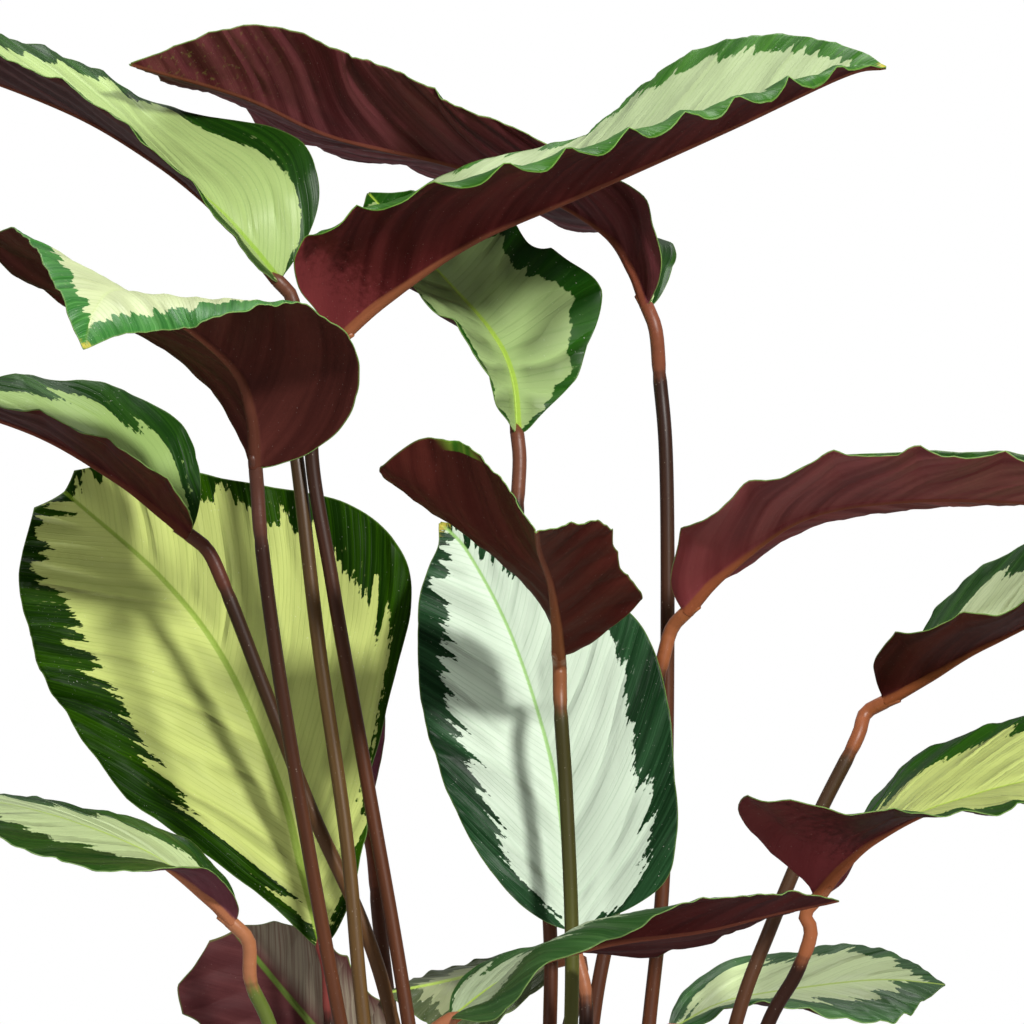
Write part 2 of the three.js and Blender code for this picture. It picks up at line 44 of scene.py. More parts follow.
# Green margin: how far the green runs in from the edge, at steps from the foot to the tip.
plainMargin = [2, 9, 11, 11, 11, 11, 10, 9, 8]

# Colours and finish, one entry a leaf. What an entry leaves out is taken from here.
plainLook = {
    "silver": (190, 205, 150),
    "veins": (120, 150, 85),
    "veinShare": 0.5,
    "green": (18, 54, 6),
    "greenLight": (56, 106, 22),
    "rib": (165, 195, 70),
    "ribShare": 0.85,
    "ribBase": 0.5,  # extra half width of the midrib's line at the foot
    "ribFade": 90.0,
    "under": (58, 20, 19),
    "underLight": (86, 36, 34),
    "underRib": (112, 62, 46),
    "underPink": 0.0,  # how far a pink flush runs from the foot
    "underMottle": 0.0,  # how far olive blotches run from the tip
    "underPale": 0,  # half with pale streaks below: -1 the left one, 1 the right one
    "margin": [plainMargin, plainMargin],
    "feather": 4.5,  # how far the silver's teeth reach into the green
    "specks": 0.4,
    "yellowTip": 0.0,
    "edgeColor": (120, 150, 78),
    "pleat": 1.0,
    "gloss": 0.22,
    "lean": 1.0,  # how far the veins run forward on their way out
    "crease": 17.0,  # from one fold along a vein to the next
    "creaseDepth": 1.0,
    "paintedFoldShade": 0.14,  # painted shade of the folds: how much darker each fold is painted than the blade
    "scallop": 0.8,  # lobes along the edge, round ones above 0 and pointed ones below 0
    "droop": 5.0,  # how far the lobes of the margin hang over
    "droopSide": None,  # half whose lobes hang: 0 the left one, 1 the right one
    "rolled": None,  # green rim seen from below: start, end, width, wave length, least width
    "rolledSide": 1,
    "rolledColor": (120, 150, 50),
    "stalk": (34, 14, 8),
    "stalkLight": (94, 50, 24),
    "pulvinus": (150, 92, 60),
}

looks = {
    "01": dict(silver=(160, 182, 114), veins=(108, 142, 84), under=(62, 30, 32),
               underLight=(90, 48, 50), pulvinus=(100, 58, 42), rib=(146, 180, 62), ribBase=1.0,
               feather=2.8, scallop=-1.7, stalkLight=(104, 76, 36),
               margin=[plainMargin, [1, 9, 10, 3, 7, 10, 10, 9, 8]]),
    "02": dict(underMottle=70, under=(69, 25, 29), underLight=(128, 67, 74), crease=30,
               creaseDepth=3.0, paintedFoldShade=0.34, scallop=1.7, pulvinus=(122, 66, 44)),
    "03": dict(silver=(160, 176, 132), under=(60, 17, 18), underLight=(92, 36, 36), underPink=30,
               yellowTip=4, edgeColor=(110, 150, 60), feather=3.0, droopSide=1, droop=3.4,
               green=(40, 92, 16), greenLight=(78, 136, 38),
               margin=[[1, 1, 1, 1, 2, 5, 7, 6, 8], plainMargin]),
    "04": dict(silver=(182, 192, 146), under=(58, 25, 21), underLight=(82, 40, 34), feather=3.0,
               scallop=-1.5, yellowTip=4, ribShare=0.1, green=(40, 104, 36),
               greenLight=(92, 156, 74), pulvinus=(80, 45, 33)),
    "05": dict(silver=(140, 166, 96), pulvinus=(84, 42, 28), gloss=0.12, stalkLight=(104, 70, 36),
               margin=[plainMargin, [3, 10, 12, 11, 9, 9, 10, 10, 9]]),
    "06": dict(silver=(188, 200, 116), veins=(140, 160, 72), green=(16, 44, 0),
               greenLight=(58, 104, 0), feather=5.5, rib=(122, 156, 42), ribShare=0.7, pleat=1.4,
               ribBase=0.9, ribFade=240, paintedFoldShade=0.32, crease=19, creaseDepth=1.2, gloss=0.05,
               pulvinus=(132, 58, 52),
               margin=[[1, 5, 10, 16, 16, 17, 15, 10, 4], [1, 2, 3, 4, 12, 16, 8, 4, 3]]),
    "07": dict(silver=(158, 182, 120), veins=(116, 152, 84), green=(26, 76, 10),
               greenLight=(54, 110, 24), pulvinus=(108, 62, 42), lean=-0.1, crease=13,
               creaseDepth=1.4, paintedFoldShade=0.55, ribBase=1.2, feather=3.0, scallop=-2.3,
               margin=[[1, 1, 1.5, 1.5, 2, 2, 2, 2, 4], [1, 1.5, 6, 12, 10, 6, 5, 4, 6]]),
    "08": dict(rolled=(78, 87, 4.6, 56.0, 0.4), scallop=-1.8, under=(66, 24, 19),
               underLight=(84, 38, 30), yellowTip=5, stalk=(50, 42, 14), stalkLight=(92, 98, 34),
               pulvinus=(126, 76, 44)),
    "09": dict(silver=(194, 210, 190), veins=(140, 172, 140), green=(10, 44, 16), paintedFoldShade=0.22,
               greenLight=(54, 98, 60), feather=5.0, gloss=0.12, rib=(140, 186, 100), yellowTip=4,
               scallop=0.3,
               margin=[[1.5, 11, 12, 14.5, 12.5, 11, 9.5, 6, 3], [1.5, 12, 13, 11, 13, 12, 10, 6, 3]]),
    "10": dict(under=(93, 39, 43), underLight=(137, 73, 75), underPink=60, scallop=-1.5,
               pulvinus=(146, 84, 48)),
    "11": dict(silver=(214, 232, 178), stalk=(60, 44, 26), pulvinus=(142, 80, 46), scallop=-1.4,
               green=(28, 76, 14), greenLight=(64, 120, 34),
               margin=[[2, 14, 18, 11, 12, 12, 11, 10, 9], plainMargin]),
    "12": dict(silver=(194, 208, 122), green=(32, 78, 12), underPink=30, pulvinus=(146, 84, 48),
               margin=[[2, 14, 20, 12, 8, 9, 10, 10, 9], plainMargin]),
    "13": dict(silver=(164, 180, 144), green=(40, 78, 32), greenLight=(78, 116, 62),
               margin=[[2, 5, 6, 6, 7, 8, 8, 8, 8], [3, 13, 17, 14, 11, 11, 11, 10, 9]]),
    "14": dict(silver=(190, 208, 152), green=(32, 84, 24), greenLight=(70, 124, 46),
               margin=[[3, 12, 12, 8, 8, 6, 6, 8, 9], [3, 14, 20, 22, 22, 20, 20, 16, 10]]),
    "15": dict(silver=(120, 150, 96), underPale=-1, scallop=-1.5, under=(72, 36, 38),
               underLight=(96, 54, 54), underRib=(92, 128, 48), pulvinus=(104, 124, 56)),
    "16": dict(stalk=(84, 100, 34), stalkLight=(118, 130, 56), silver=(180, 198, 144),
               pulvinus=(160, 102, 66), under=(84, 42, 50), underLight=(106, 64, 72),
               underRib=(160, 108, 74),
               margin=[[4, 16, 26, 24, 21, 18, 14, 12, 10], plainMargin]),
    "17": dict(stalk=(60, 34, 20), silver=(140, 148, 110), green=(70, 84, 50),
               greenLight=(104, 112, 76)),
    "18": dict(under=(112, 60, 76), underLight=(140, 88, 104), stalk=(74, 40, 24),
               pulvinus=(110, 60, 40)),
}

# Where each leaf stands: the stalk and the midrib run through their points, from the soil to the
# tip, left and right are the directions of the blade's two halves from foot to tip, and half is
# how wide each of them is. Lobes says how deep the lobes of each half's margin are, and curl how
# far the half rolls towards its upper face. What an entry leaves out is taken from here.
plainLeaf = {"lobes": [1, 1], "lobeCount": 8, "curl": [0, 0]}

leaves = {
    "01": dict(
        foot=[-32, -6], lobes=[0.6, 0.5], curl=[0, 0.1],
        stalk=[[-58, -12, 317], [-64, -10, 380], [-74, -6, 450], [-81, -2, 510], [-86, 8, 548]],
        rib=[[-88.5, 15, 577], [-99, 12, 590], [-112.5, 8, 604.5], [-132, 2, 619.5],
             [-161, -4, 636], [-205, -8, 652], [-250, -6, 662]],
        left=[[-0.2, -1, -0.1], [0, -1, 0], [0, -1, 0.2], [0, -1, 0.15]],
        right=[[0.95, 0.2, 0.1], [0.75, 0.35, 0.6], [0.3, 0.9, 0.2], [0.1, 0.98, 0.27],
               [0.1, 0.98, 0.3], [0.1, 0.97, 0.3], [0.1, 0.97, 0.3]],
        half=[[2, 18, 36, 46, 50, 48, 42, 27, 0.8], [2, 32, 44, 48, 50, 48.5, 42, 27, 0.8]]),
    "02": dict(
        foot=[22, 14], lobes=[0.3, 1.2], lobeCount=9, curl=[0, 0.2],
        stalk=[[41.8, 18, 317], [46.5, 18, 365], [48.2, 18, 450], [47.5, 20, 520],
               [45.5, 22, 543]],
        rib=[[41, 22, 568], [36, 26, 581], [26, 36, 595], [0, 52, 610], [-30, 56, 619],
             [-70, 46, 628], [-101, 30, 641.5], [-140, 6, 652.5]],
        left=[[0.5, -0.85, 0.1], [0.4, -0.9, 0.1], [0.1, -0.88, 0.43], [0.1, -0.76, 0.66],
              [0.15, -0.7, 0.7]],
        right=[[0.7, 0.7, 0.1], [0.5, 0.85, 0.1], [0.1, 0.95, -0.25], [0, 0.97, -0.2],
               [0, 0.98, -0.17], [0, 0.98, -0.14], [0, 1, -0.06]],
        half=[[2, 26, 30, 40, 46, 47, 40, 31, 0.8], [2, 20, 36, 44, 46, 44.5, 38.5, 25, 0.7]]),
    "03": dict(
        foot=[-18, -6], lobes=[0.3, 1.3], lobeCount=11, curl=[0, -0.7],
        stalk=[[-42.5, -5, 317], [-56.7, -5, 400], [-69, -7, 470], [-76.5, -7, 522],
               [-72, -8, 545]],
        rib=[[-66.5, -8, 556.5], [-50, -15, 570.5], [-20, -28, 590.5], [20, -38, 607.5],
             [70, -44, 629.5], [110, -46, 648], [124, -46, 650.5]],
        left=[[-0.4, 0.8, 0.45], [-0.28, 0.82, 0.47], [-0.22, 0.88, 0.3], [-0.22, 0.75, 0.64],
              [-0.25, 0.7, 0.6]],
        right=[[-0.7, -0.3, 0.7], [-0.5, -0.5, 0.7], [-0.2, -0.8, 0.62], [-0.1, -0.85, 0.55],
               [-0.1, -0.85, 0.5]],
        half=[[2, 27, 41, 48, 50, 49, 45, 31, 0.8], [2, 43, 50, 49, 51, 50, 43, 27, 0.5]]),
    "04": dict(
        foot=[-30, -20], lobes=[0.4, 0.8], curl=[-0.6, 0],
        stalk=[[-66, -35, 317], [-77.5, -44, 380], [-89, -53, 450], [-94, -58, 490]],
        rib=[[-95.5, -60, 511], [-97, -64, 530], [-103, -72, 546], [-122, -98, 562],
             [-142, -132, 572], [-150, -160, 565], [-153.5, -176, 552]],
        left=[[0.98, -0.1, 0.1], [0.97, -0.15, 0.15], [0.95, -0.25, 0.25], [0.92, -0.35, 0.3],
              [0.9, -0.4, 0.1], [0.8, -0.5, -0.15], [0.6, -0.4, -0.3]],
        right=[[-0.5, 0.85, -0.1], [-0.5, 0.85, 0], [-0.8, 0.5, 0.2], [-0.85, 0.2, 0.5],
               [-0.7, 0, 0.5]],
        half=[[2, 31, 47, 54, 54, 49, 38, 21, 0.5], [2, 11, 34, 48, 62, 66, 36, 16, 0.5]]),
    "05": dict(
        foot=[-14, 10],
        stalk=[[-48, 10, 317], [-58, 9, 350], [-76, 6, 390], [-91.5, 3, 430], [-107, 0, 470]],
        rib=[[-119.5, -2, 488], [-128, -4, 495], [-145, -8, 508], [-175, -14, 524.5],
             [-215, -20, 535], [-270, -22, 540]],
        left=[[0.3, -0.9, 0.3], [0.1, -0.95, 0.28], [0, -0.97, 0.16], [0, -1, 0.02], [0, -1, 0]],
        right=[[0.9, 0.3, 0.1], [0.75, 0.6, 0.25], [0.25, 0.92, 0.2], [0.15, 0.97, 0.1],
               [0.1, 0.97, 0.1]],
        half=[42, 44]),
    "06": dict(
        foot=[-34, 12], lobes=[0.5, 0.5],
        stalk=[[-64, 25, 270], [-70, 26, 317]],
        rib=[[-73, 25, 344], [-80, 28, 370], [-88, 32, 400], [-107, 40, 443], [-130, 48, 473],
             [-164, 58, 503]],
        left=[[-1, -0.2, -0.3], [-1, -0.2, -0.3]],
        right=[[1, -0.2, 0.3], [1, -0.15, 0.3]],
        half=[[2, 7, 14, 26, 43, 53, 58, 59.5, 59, 55, 47, 36, 12],
              [2, 10, 18, 25, 30, 46, 65, 73, 66, 49, 36, 26, 8]]),
    "07": dict(
        foot=[-2, 8],
        stalk=[[7, 14, 317], [7, 15, 350], [0, 19, 430], [-4.5, 22, 490]],
        rib=[[-4.5, 27, 523.5], [-6.5, 31, 543], [-14, 38, 559], [-33, 52, 581], [-57, 66, 608]],
        left=[[-0.35, -0.9, -0.1], [-0.3, -0.9, -0.1], [-0.4, -0.85, -0.2]],
        right=[[0.95, 0, 0.1], [0.92, -0.1, 0.3], [0.85, -0.1, 0.5]],
        half=[[2, 16, 28, 36, 40, 38, 32, 20, 0.5], [2, 11, 26, 41, 33, 30, 24, 15, 0.5]]),
    "08": dict(
        foot=[6, -22], lobes=[0.6, 0.4],
        stalk=[[14.3, -35, 317], [14.5, -36, 350], [12.4, -37, 400], [10.5, -38, 430]],
        rib=[[10, -40, 446], [9, -62, 458], [7, -88, 471], [3, -120, 482], [2, -150, 489]],
        left=[[1, 0.1, 0], [1, 0, 0], [1, 0, 0.05], [0.98, 0, 0.12], [0.95, 0, 0.3],
              [0.9, 0, 0.4], [0.9, 0, 0.4]],
        right=[[-0.3, 0.4, 0.85], [-0.22, 0.45, 0.86], [-0.5, 0.35, 0.79], [-0.68, 0.2, 0.66],
               [-0.83, 0.15, 0.53], [-0.83, 0.1, 0.54], [-0.63, 0.1, 0.76], [-0.5, 0.1, 0.85],
               [-0.5, 0.1, 0.85]],
        half=[[2, 11, 20, 31, 26, 25.5, 26, 16, 0.5], [2, 19, 31, 48, 65, 66, 52, 27, 0.5]]),
    "09": dict(
        foot=[8, -8], lobes=[0.4, 0.4],
        stalk=[[19, -14, 305], [19.3, -14, 328]],
        rib=[[15, -12, 350], [10, -8, 395], [3, -2, 425], [-8, 4, 456], [-22, 8, 482],
             [-31.5, 9, 492]],
        left=[[-1, -0.25, -0.1], [-1, -0.2, -0.2], [-1, -0.2, -0.3]],
        right=[[1, -0.15, 0.1], [1, -0.15, 0.15], [1, -0.15, 0.3]],
        half=[[2.2, 18, 30, 38, 40, 38.5, 32.5, 22, 0.5],
              [2.2, 32, 40, 42, 45, 44, 32, 15, 0.5]]),
    "10": dict(
        foot=[10, 6], lobes=[0.3, 1.3], curl=[[1.5, 2.2, 1.8, 1.2, 1], 0],
        stalk=[[22, 3, 317], [30, 5, 360], [47, 4, 446]],
        rib=[[55, 0, 461], [68, -10, 475], [95, -25, 494], [130, -42, 500], [180, -60, 499],
             [243, -72, 494]],
        left=[[-0.2, 0.9, -0.4], [0, 0.8, -0.6], [0, 0.87, -0.45], [0, 0.97, -0.2],
              [0, 0.97, -0.15]],
        right=[[-0.6, -0.4, 0.6], [-0.45, -0.8, 0.33], [-0.05, -0.93, 0.32], [0, -0.93, 0.33],
               [0, -0.93, 0.33]],
        half=[48, [2, 19, 36, 42.5, 50, 47, 41, 27, 0.5]]),
    "11": dict(
        foot=[34, 0], lobes=[0.4, 1.2],
        stalk=[[72, -6, 317], [84, -5, 350], [101, -4, 390], [115, -2, 418]],
        rib=[[124.5, 0, 429.5], [140, -5, 438.5], [160, -10, 450], [200, -18, 466],
             [265, -22, 474]],
        left=[[-0.1, 0.95, 0.2], [-0.2, 0.85, 0.4], [-0.3, 0.75, 0.55], [-0.15, 0.8, 0.5],
              [0, 0.88, 0.35]],
        right=[[-0.9, -0.3, 0.6], [-0.5, -0.82, 0.25], [0, -0.97, 0.15], [0, -0.98, 0.12],
               [0, -1, 0.1]],
        half=[[2, 33, 42, 42, 39.5, 39, 36, 24, 0.7], 44]),
    "12": dict(
        foot=[32, -16], lobes=[0.4, 1.2], lobeCount=9,
        stalk=[[83, -28, 317], [93, -30, 335], [98, -33, 350]],
        rib=[[101, -35, 362], [108, -37, 371], [120, -40, 382], [145, -45, 394], [190, -54, 404],
             [260, -62, 400]],
        left=[[0.3, 0.9, -0.2], [-0.05, 0.92, 0.3], [-0.2, 0.85, 0.43], [-0.1, 0.87, 0.38],
              [0, 0.9, 0.3]],
        right=[[-0.95, 0.1, 0.55], [-0.4, -0.88, 0.08], [-0.1, -0.97, -0.18], [0, -1, -0.08],
               [0, -1, 0]],
        half=[[2, 31, 43, 44.5, 43, 42, 38, 25, 0.7], [2, 52, 49, 46, 46, 45, 38, 24, 0.5]]),
    "13": dict(
        foot=[-10, -26], lobes=[0.4, 0.5], curl=[0, [-0.3, -0.5, -1.2, -2, -0.6, -0.3, 0]],
        stalk=[[-20, -55, 230], [-26, -74, 290]],
        rib=[[-27, -78, 320], [-13, -80, 331], [4, -82, 340], [28, -84, 346.2], [60, -87, 350.5],
             [85, -90, 356.5], [107, -92, 361]],
        left=[[-0.7, 0.6, 0.1], [-0.7, 0.7, -0.1], [-0.5, 0.8, -0.05], [-0.3, 0.93, 0],
              [0, 0.97, -0.2], [0, 0.97, -0.16], [0, 0.98, -0.06], [0, 0.98, -0.02],
              [0, 1, -0.05]],
        right=[[-0.3, -0.9, -0.1], [0.1, -0.95, -0.1], [0, -0.8, 0.5], [0, -0.5, 0.87],
               [0, -0.8, 0.6], [0, -0.89, 0.45], [0, -0.9, 0.4]],
        half=[[2, 17, 25, 29, 32, 34, 31, 21, 0.5], [2, 20, 28, 32, 34, 34, 32, 22, 0.5]]),
    "14": dict(
        foot=[22, 30], lobes=[0.3, 0.7],
        stalk=[[34, 35, 230], [42, 38, 280]],
        rib=[[50, 40, 314], [65, 44, 322], [80, 46, 326], [120, 50, 331], [146, 50, 329.5]],
        left=[[0.1, 0.85, 0.5], [0.1, 0.88, 0.45], [0, 0.92, 0.33], [0, 0.93, 0.33],
              [0, 0.95, 0.25]],
        right=[[0.1, -0.95, -0.1], [0.1, -0.95, -0.1], [0, -0.97, -0.08], [0, -0.97, -0.12],
               [0, -0.95, -0.24], [0, -0.92, -0.38], [0, -0.9, -0.42], [0, -0.9, -0.4],
               [0, -0.9, -0.3]],
        half=[[2, 13, 25, 34, 37, 39, 34, 20, 0.5], [2, 17, 27, 32, 34, 35, 33, 22, 0.5]]),
    "15": dict(
        foot=[-26, 24],
        stalk=[[-40, 40, 230], [-46, 44, 265]],
        rib=[[-50, 45, 290], [-68, 47, 306], [-83, 47, 323], [-97, 44, 340], [-104, 42, 349]],
        left=[[0.75, -0.2, 0.6], [0.75, -0.2, 0.6]],
        right=[[-0.75, -0.2, -0.6], [-0.75, -0.2, -0.6]],
        half=[[2, 14, 21, 24, 25, 25, 23, 16, 2], [2, 20, 30, 35, 35, 34, 31.5, 31, 9]]),
    "16": dict(
        foot=[-42, -14], lobes=[0.5, 0.5],
        stalk=[[-78, -22, 260], [-91, -25, 317], [-97.5, -29, 332]],
        rib=[[-104, -35, 352.5], [-112, -38, 361], [-135, -44, 378], [-175, -52, 392.5],
             [-225, -58, 399.5], [-262, -60, 400]],
        left=[[0.85, -0.4, 0.5], [0.3, -0.9, 0.35], [0, -0.96, -0.2], [0, -0.93, -0.34],
              [0, -0.98, -0.2], [0, -1, -0.1], [0, -1, -0.1]],
        right=[[0.5, 0.8, 0.25], [0.2, 0.95, 0.08], [0, 1, 0.02], [0, 1, 0]],
        half=[[2, 13, 29, 40, 42, 41, 36, 23, 0.7], 40]),
    "17": dict(
        foot=[0, 22], lobes=[0.6, 0.4],
        stalk=[[8, 26, 240], [10.7, 30, 300]],
        rib=[[9, 36, 338], [-8, 38, 336], [-30, 38, 331], [-50, 36, 327]],
        left=[[0, -0.6, -0.8], [0, -0.6, -0.8]],
        right=[[0, 0.97, 0.2], [0, 0.97, 0.2]],
        half=[[2, 10, 16, 22, 26, 26, 20, 11, 0.5], [2, 11, 17, 20, 21, 20, 17, 10, 0.5]]),
    "18": dict(
        foot=[-12, 26],
        stalk=[[-34, 44, 240], [-46, 56, 300], [-53, 68, 350]],
        rib=[[-58, 75, 386], [-65, 80, 410], [-75, 86, 438], [-90, 90, 470]],
        left=[[0.95, -0.1, 0.1], [0.95, -0.1, 0.3]],
        right=[[-0.95, -0.1, -0.1], [-0.95, -0.1, -0.3]],
        half=[[2, 4, 9, 15.5, 19, 19, 16, 10, 0.5], 30]),
}


# Leaf shapes

leafForm = {
    "outline": [0.04, 0.55, 0.83, 0.96, 1, 0.97, 0.84, 0.54, 0.015],  # share of the half width
    "footCrowding": 0.75,  # steps along a blade crowd towards its foot
    "footHalfWidth": 2.2,
    "veinSweep": 0.28,
    "sweepStart": 0.35,
    "sweepCurve": 1.5,
    "lobeDepth": 2.6,
    "fullWidth": 25,  # a half narrower than this has smaller lobes
    "lobeLine": 0.4,  # how high up a lobe the plain outline runs
    "droopFrom": 0.87,  # share of the half width where hanging lobes begin
    "rippleDepth": 0.1,  # finer waves of the margin
    "rippleLengths": [5.7, 11.3],
    "pleatDepth": 0.2,
    "pleatLength": 9.0,
    "foldDepth": 0.35,
    "foldLength": 19.0,
    "wander": 1.2,  # how unevenly the pleats are spaced
    "wanderLength": 31,
    "halfShift": 0.9,  # the pleats of the two halves don't meet at the rib
    "flatByRib": 9,
    "flatByTip": 18,
    "thickness": 0.7,
    "thinEdge": 2.5,  # nearer the edge than this, a blade thins to half
    "ridgeRadius": 2.2,  # the midrib standing out below
    "ridgeEnd": 0.35,
    "ridgeTaper": 1.8,
    "grooveDepth": 0.3,
    "grooveWidth": 0.9,
    "stations": 130,
    "ribColumns": [0, 0.45, 0.9, 1.4, 2.0, 2.7],
    "outerColumns": [0.06, 0.14, 0.23, 0.33, 0.43, 0.53, 0.63, 0.72, 0.8, 0.87, 0.93, 0.975, 1],
    "seed": 100,
    "seedStep": 37.0,  # sets one blade's noise apart from the next one's
}


def hermite(start, end, slopeIn, slopeOut, t):
    return (start + slopeIn * t + (3 * (end - start) - 2 * slopeIn - slopeOut) * t ** 2
            + (2 * (start - end) + slopeIn + slopeOut) * t ** 3)


def smoothList(values, place):
    values = np.asarray(values, float)
    first = 2 * values[:1] - values[1:2]
    last = 2 * values[-1:] - values[-2:-1]
    held = np.concatenate([first, values, last])
    step = np.minimum(place.astype(int), len(values) - 2)
    t = place - step
    if values.ndim == 2:
        t = t[:, None]
    before, start, end, after = [held[step + ahead] for ahead in range(4)]
    return hermite(start, end, (end - before) / 2, (after - start) / 2, t)


def alongBlade(values, u):
    return smoothList(values, np.clip(u, 0, 1) ** leafForm["footCrowding"] * (len(values) - 1))


def unit(vectors):
    return vectors / np.maximum(np.linalg.norm(vectors, axis=-1), 1e-9)[..., None]


def ribAt(rib, u):
    points = np.asarray(rib, float)
    fine = np.linspace(0, len(points) - 1, 201)
    run = smoothList(points, fine)
    steps = np.concatenate([[0], np.cumsum(np.linalg.norm(np.diff(run, axis=0), axis=1))])
    place = np.interp(u * steps[-1], steps, fine)
    small = 1e-4 * (len(points) - 1)
    ahead = smoothList(points, np.clip(place + small, 0, len(points) - 1))
    behind = smoothList(points, np.clip(place - small, 0, len(points) - 1))
    return smoothList(points, place), unit(ahead - behind), steps[-1]


def halfWidth(half, u):
    if isinstance(half, (list, tuple)):
        width = alongBlade(half, u)
    else:
        width = half * alongBlade(leafForm["outline"], u)
    return np.maximum(width, np.where(u < 0.5, leafForm["footHalfWidth"], 0.5))


def lobeWave(leaf, u):
    return np.abs(np.sin(np.pi * leaf["lobeCount"] * u))


def lobeSize(leaf, side, width):
    return leaf["lobes"][side] * np.minimum(1, width / leafForm["fullWidth"])


# One half of a blade, at places u along the midrib and shares of the width out from it
def halfSurface(leaf, u, side, shares):
    middle, along, length = ribAt(leaf["rib"], u)
    out = alongBlade(leaf["left" if side == 0 else "right"], u)
    out = unit(out - along * (out * along).sum(1)[:, None])
    up = np.cross(along, out) if side == 0 else np.cross(out, along)
    width = halfWidth(leaf["half"][side], u)
    curl = leaf["curl"][side]
    curl = alongBlade(curl, u) if isinstance(curl, (list, tuple)) else curl + 0 * u
    bend = np.where(np.abs(curl) < 1e-4, 1e-4, curl)[:, None]
    reach = np.sin(bend * shares) / bend
    rise = (1 - np.cos(bend * shares)) / bend
    sweep = leafForm["veinSweep"] * np.minimum(1, u / leafForm["sweepStart"])
    lobe = leafForm["lobeDepth"] * lobeSize(leaf, side, width) * (0.5 - lobeWave(leaf, u))
    wave = lobe[:, None] * shares ** 2
    w = width[:, None]
    return (middle[:, None] + out[:, None] * (w * reach)[..., None]
            + up[:, None] * (w * rise + wave)[..., None]
            + along[:, None] * (sweep[:, None] * w * shares ** leafForm["sweepCurve"])[..., None]
            ), length


# A blade as a grid of points from its left margin over the rib to its right margin, with what
# the materials need to know at each of them
def bladeGrid(name, leaf, look):
    rng = np.random.default_rng(leafForm["seed"] + int(name))
    u = np.linspace(0, 1, leafForm["stations"]) ** (1 / leafForm["footCrowding"])
    inner = np.array(leafForm["ribColumns"])
    rest = np.array(leafForm["outerColumns"])
    halves = []
    for side in (0, 1):
        width = halfWidth(leaf["half"][side], u)
        start = np.minimum(0.5, inner[-1] / width)
        shares = np.concatenate([
            inner[None] / inner[-1] * start[:, None],
            start[:, None] + (1 - start[:, None]) * rest[None],
        ], axis=1)
        points, length = halfSurface(leaf, u, side, shares)
        edge = width[:, None] * (1 - shares)
        tip = (1 - u[:, None]) * length
        base = u[:, None] * length
        margin = alongBlade(look["margin"][side], u)[:, None]
        ahead = np.gradient(points, axis=1)
        wave = lobeWave(leaf, u)
        stand = look["scallop"] * lobeSize(leaf, side, width) * (leafForm["lobeLine"] - wave)
        points = points - unit(ahead) * (stand[:, None] * shares ** 5)[..., None]
        if side == look["droopSide"]:
            lobed = wave * np.clip((u - 0.06) * 12, 0, 1) * np.clip((0.97 - u) * 12, 0, 1)
            outer = (shares - leafForm["droopFrom"]) / (1 - leafForm["droopFrom"])
            hang = lobed[:, None] * np.clip(outer, 0, 1) ** 1.6
            points[..., 2] -= look["droop"] * hang
        halves.append({
            "points": points,
            "shares": shares,
            "rib": width[:, None] * shares,
            "edge": np.minimum(edge, tip * 0.6 + 0.02),
            "silver": np.minimum(edge, tip) - margin,
            "along": base + 0 * shares,
            "tip": tip + 0 * shares,
        })
    left, right = halves

    def joined(key, sign=1):
        return np.concatenate([left[key][:, ::-1] * sign, right[key][:, 1:]], axis=1)

    points = joined("points")
    across = np.gradient(points, axis=1)
    onwards = np.gradient(points, axis=0)
    normal = unit(np.cross(across, onwards))
    shares = joined("shares", -1)
    along = joined("along")
    rib = joined("rib")
    phase = rng.uniform(0, 6.28)
    wander = leafForm["wander"] * np.sin(along / leafForm["wanderLength"] + rng.uniform(0, 6.28))
    swept = along - look["lean"] * rib
    halfTurn = np.where(shares < 0, leafForm["halfShift"], 0)
    pleat = np.sin(2 * np.pi * swept / leafForm["pleatLength"] + wander + phase + halfTurn)
    fold = np.sin(2 * np.pi * swept / leafForm["foldLength"] + 2 * wander + halfTurn)
    fade = (np.minimum(1, rib / leafForm["flatByRib"])
            * np.minimum(1, joined("tip") / leafForm["flatByTip"]) * look["pleat"])
    short, long = leafForm["rippleLengths"]
    ripple = (np.sin(along * 2 * np.pi / short + 3 * wander + phase)
              + np.sin(along * 2 * np.pi / long + phase * 2))
    lift = ((leafForm["pleatDepth"] * pleat + leafForm["foldDepth"] * fold) * fade
            + leafForm["rippleDepth"] * ripple * np.abs(shares) ** 6)
    points = points + normal * lift[..., None]
    return {
        "points": points, "normal": normal, "rib": rib, "along": along,
        "across": rib * np.sign(shares), "edge": joined("edge"), "silver": joined("silver"),
        "tip": joined("tip"), "u": u,
    }


def meshPiece(name, points, faces, materials, slots=None, facts=None):
    mesh = bpy.data.meshes.new(name)
    mesh.from_pydata((np.asarray(points) * toMetres).tolist(), [], faces)
    for material in materials:
        mesh.materials.append(material)
    if slots is not None:
        mesh.polygons.foreach_set("material_index", np.asarray(slots, np.int32))
    for key, values in (facts or {}).items():
        layer = mesh.attributes.new(key, "FLOAT_VECTOR", "POINT")
        layer.data.foreach_set("vector", np.asarray(values, np.float32).ravel())
    mesh.polygons.foreach_set("use_smooth", np.ones(len(mesh.polygons), bool))
    mesh.update()
    piece = bpy.data.objects.new(name, mesh)
    bpy.context.scene.collection.objects.link(piece)
    return piece


def gridFaces(rows, columns, start=0, flipped=False):
    row, column = np.meshgrid(np.arange(rows - 1), np.arange(columns - 1), indexing="ij")
    a = (start + row * columns + column).ravel()
    quads = np.stack([a, a + 1, a + columns + 1, a + columns], axis=1)
    return quads[:, ::-1] if flipped else quads


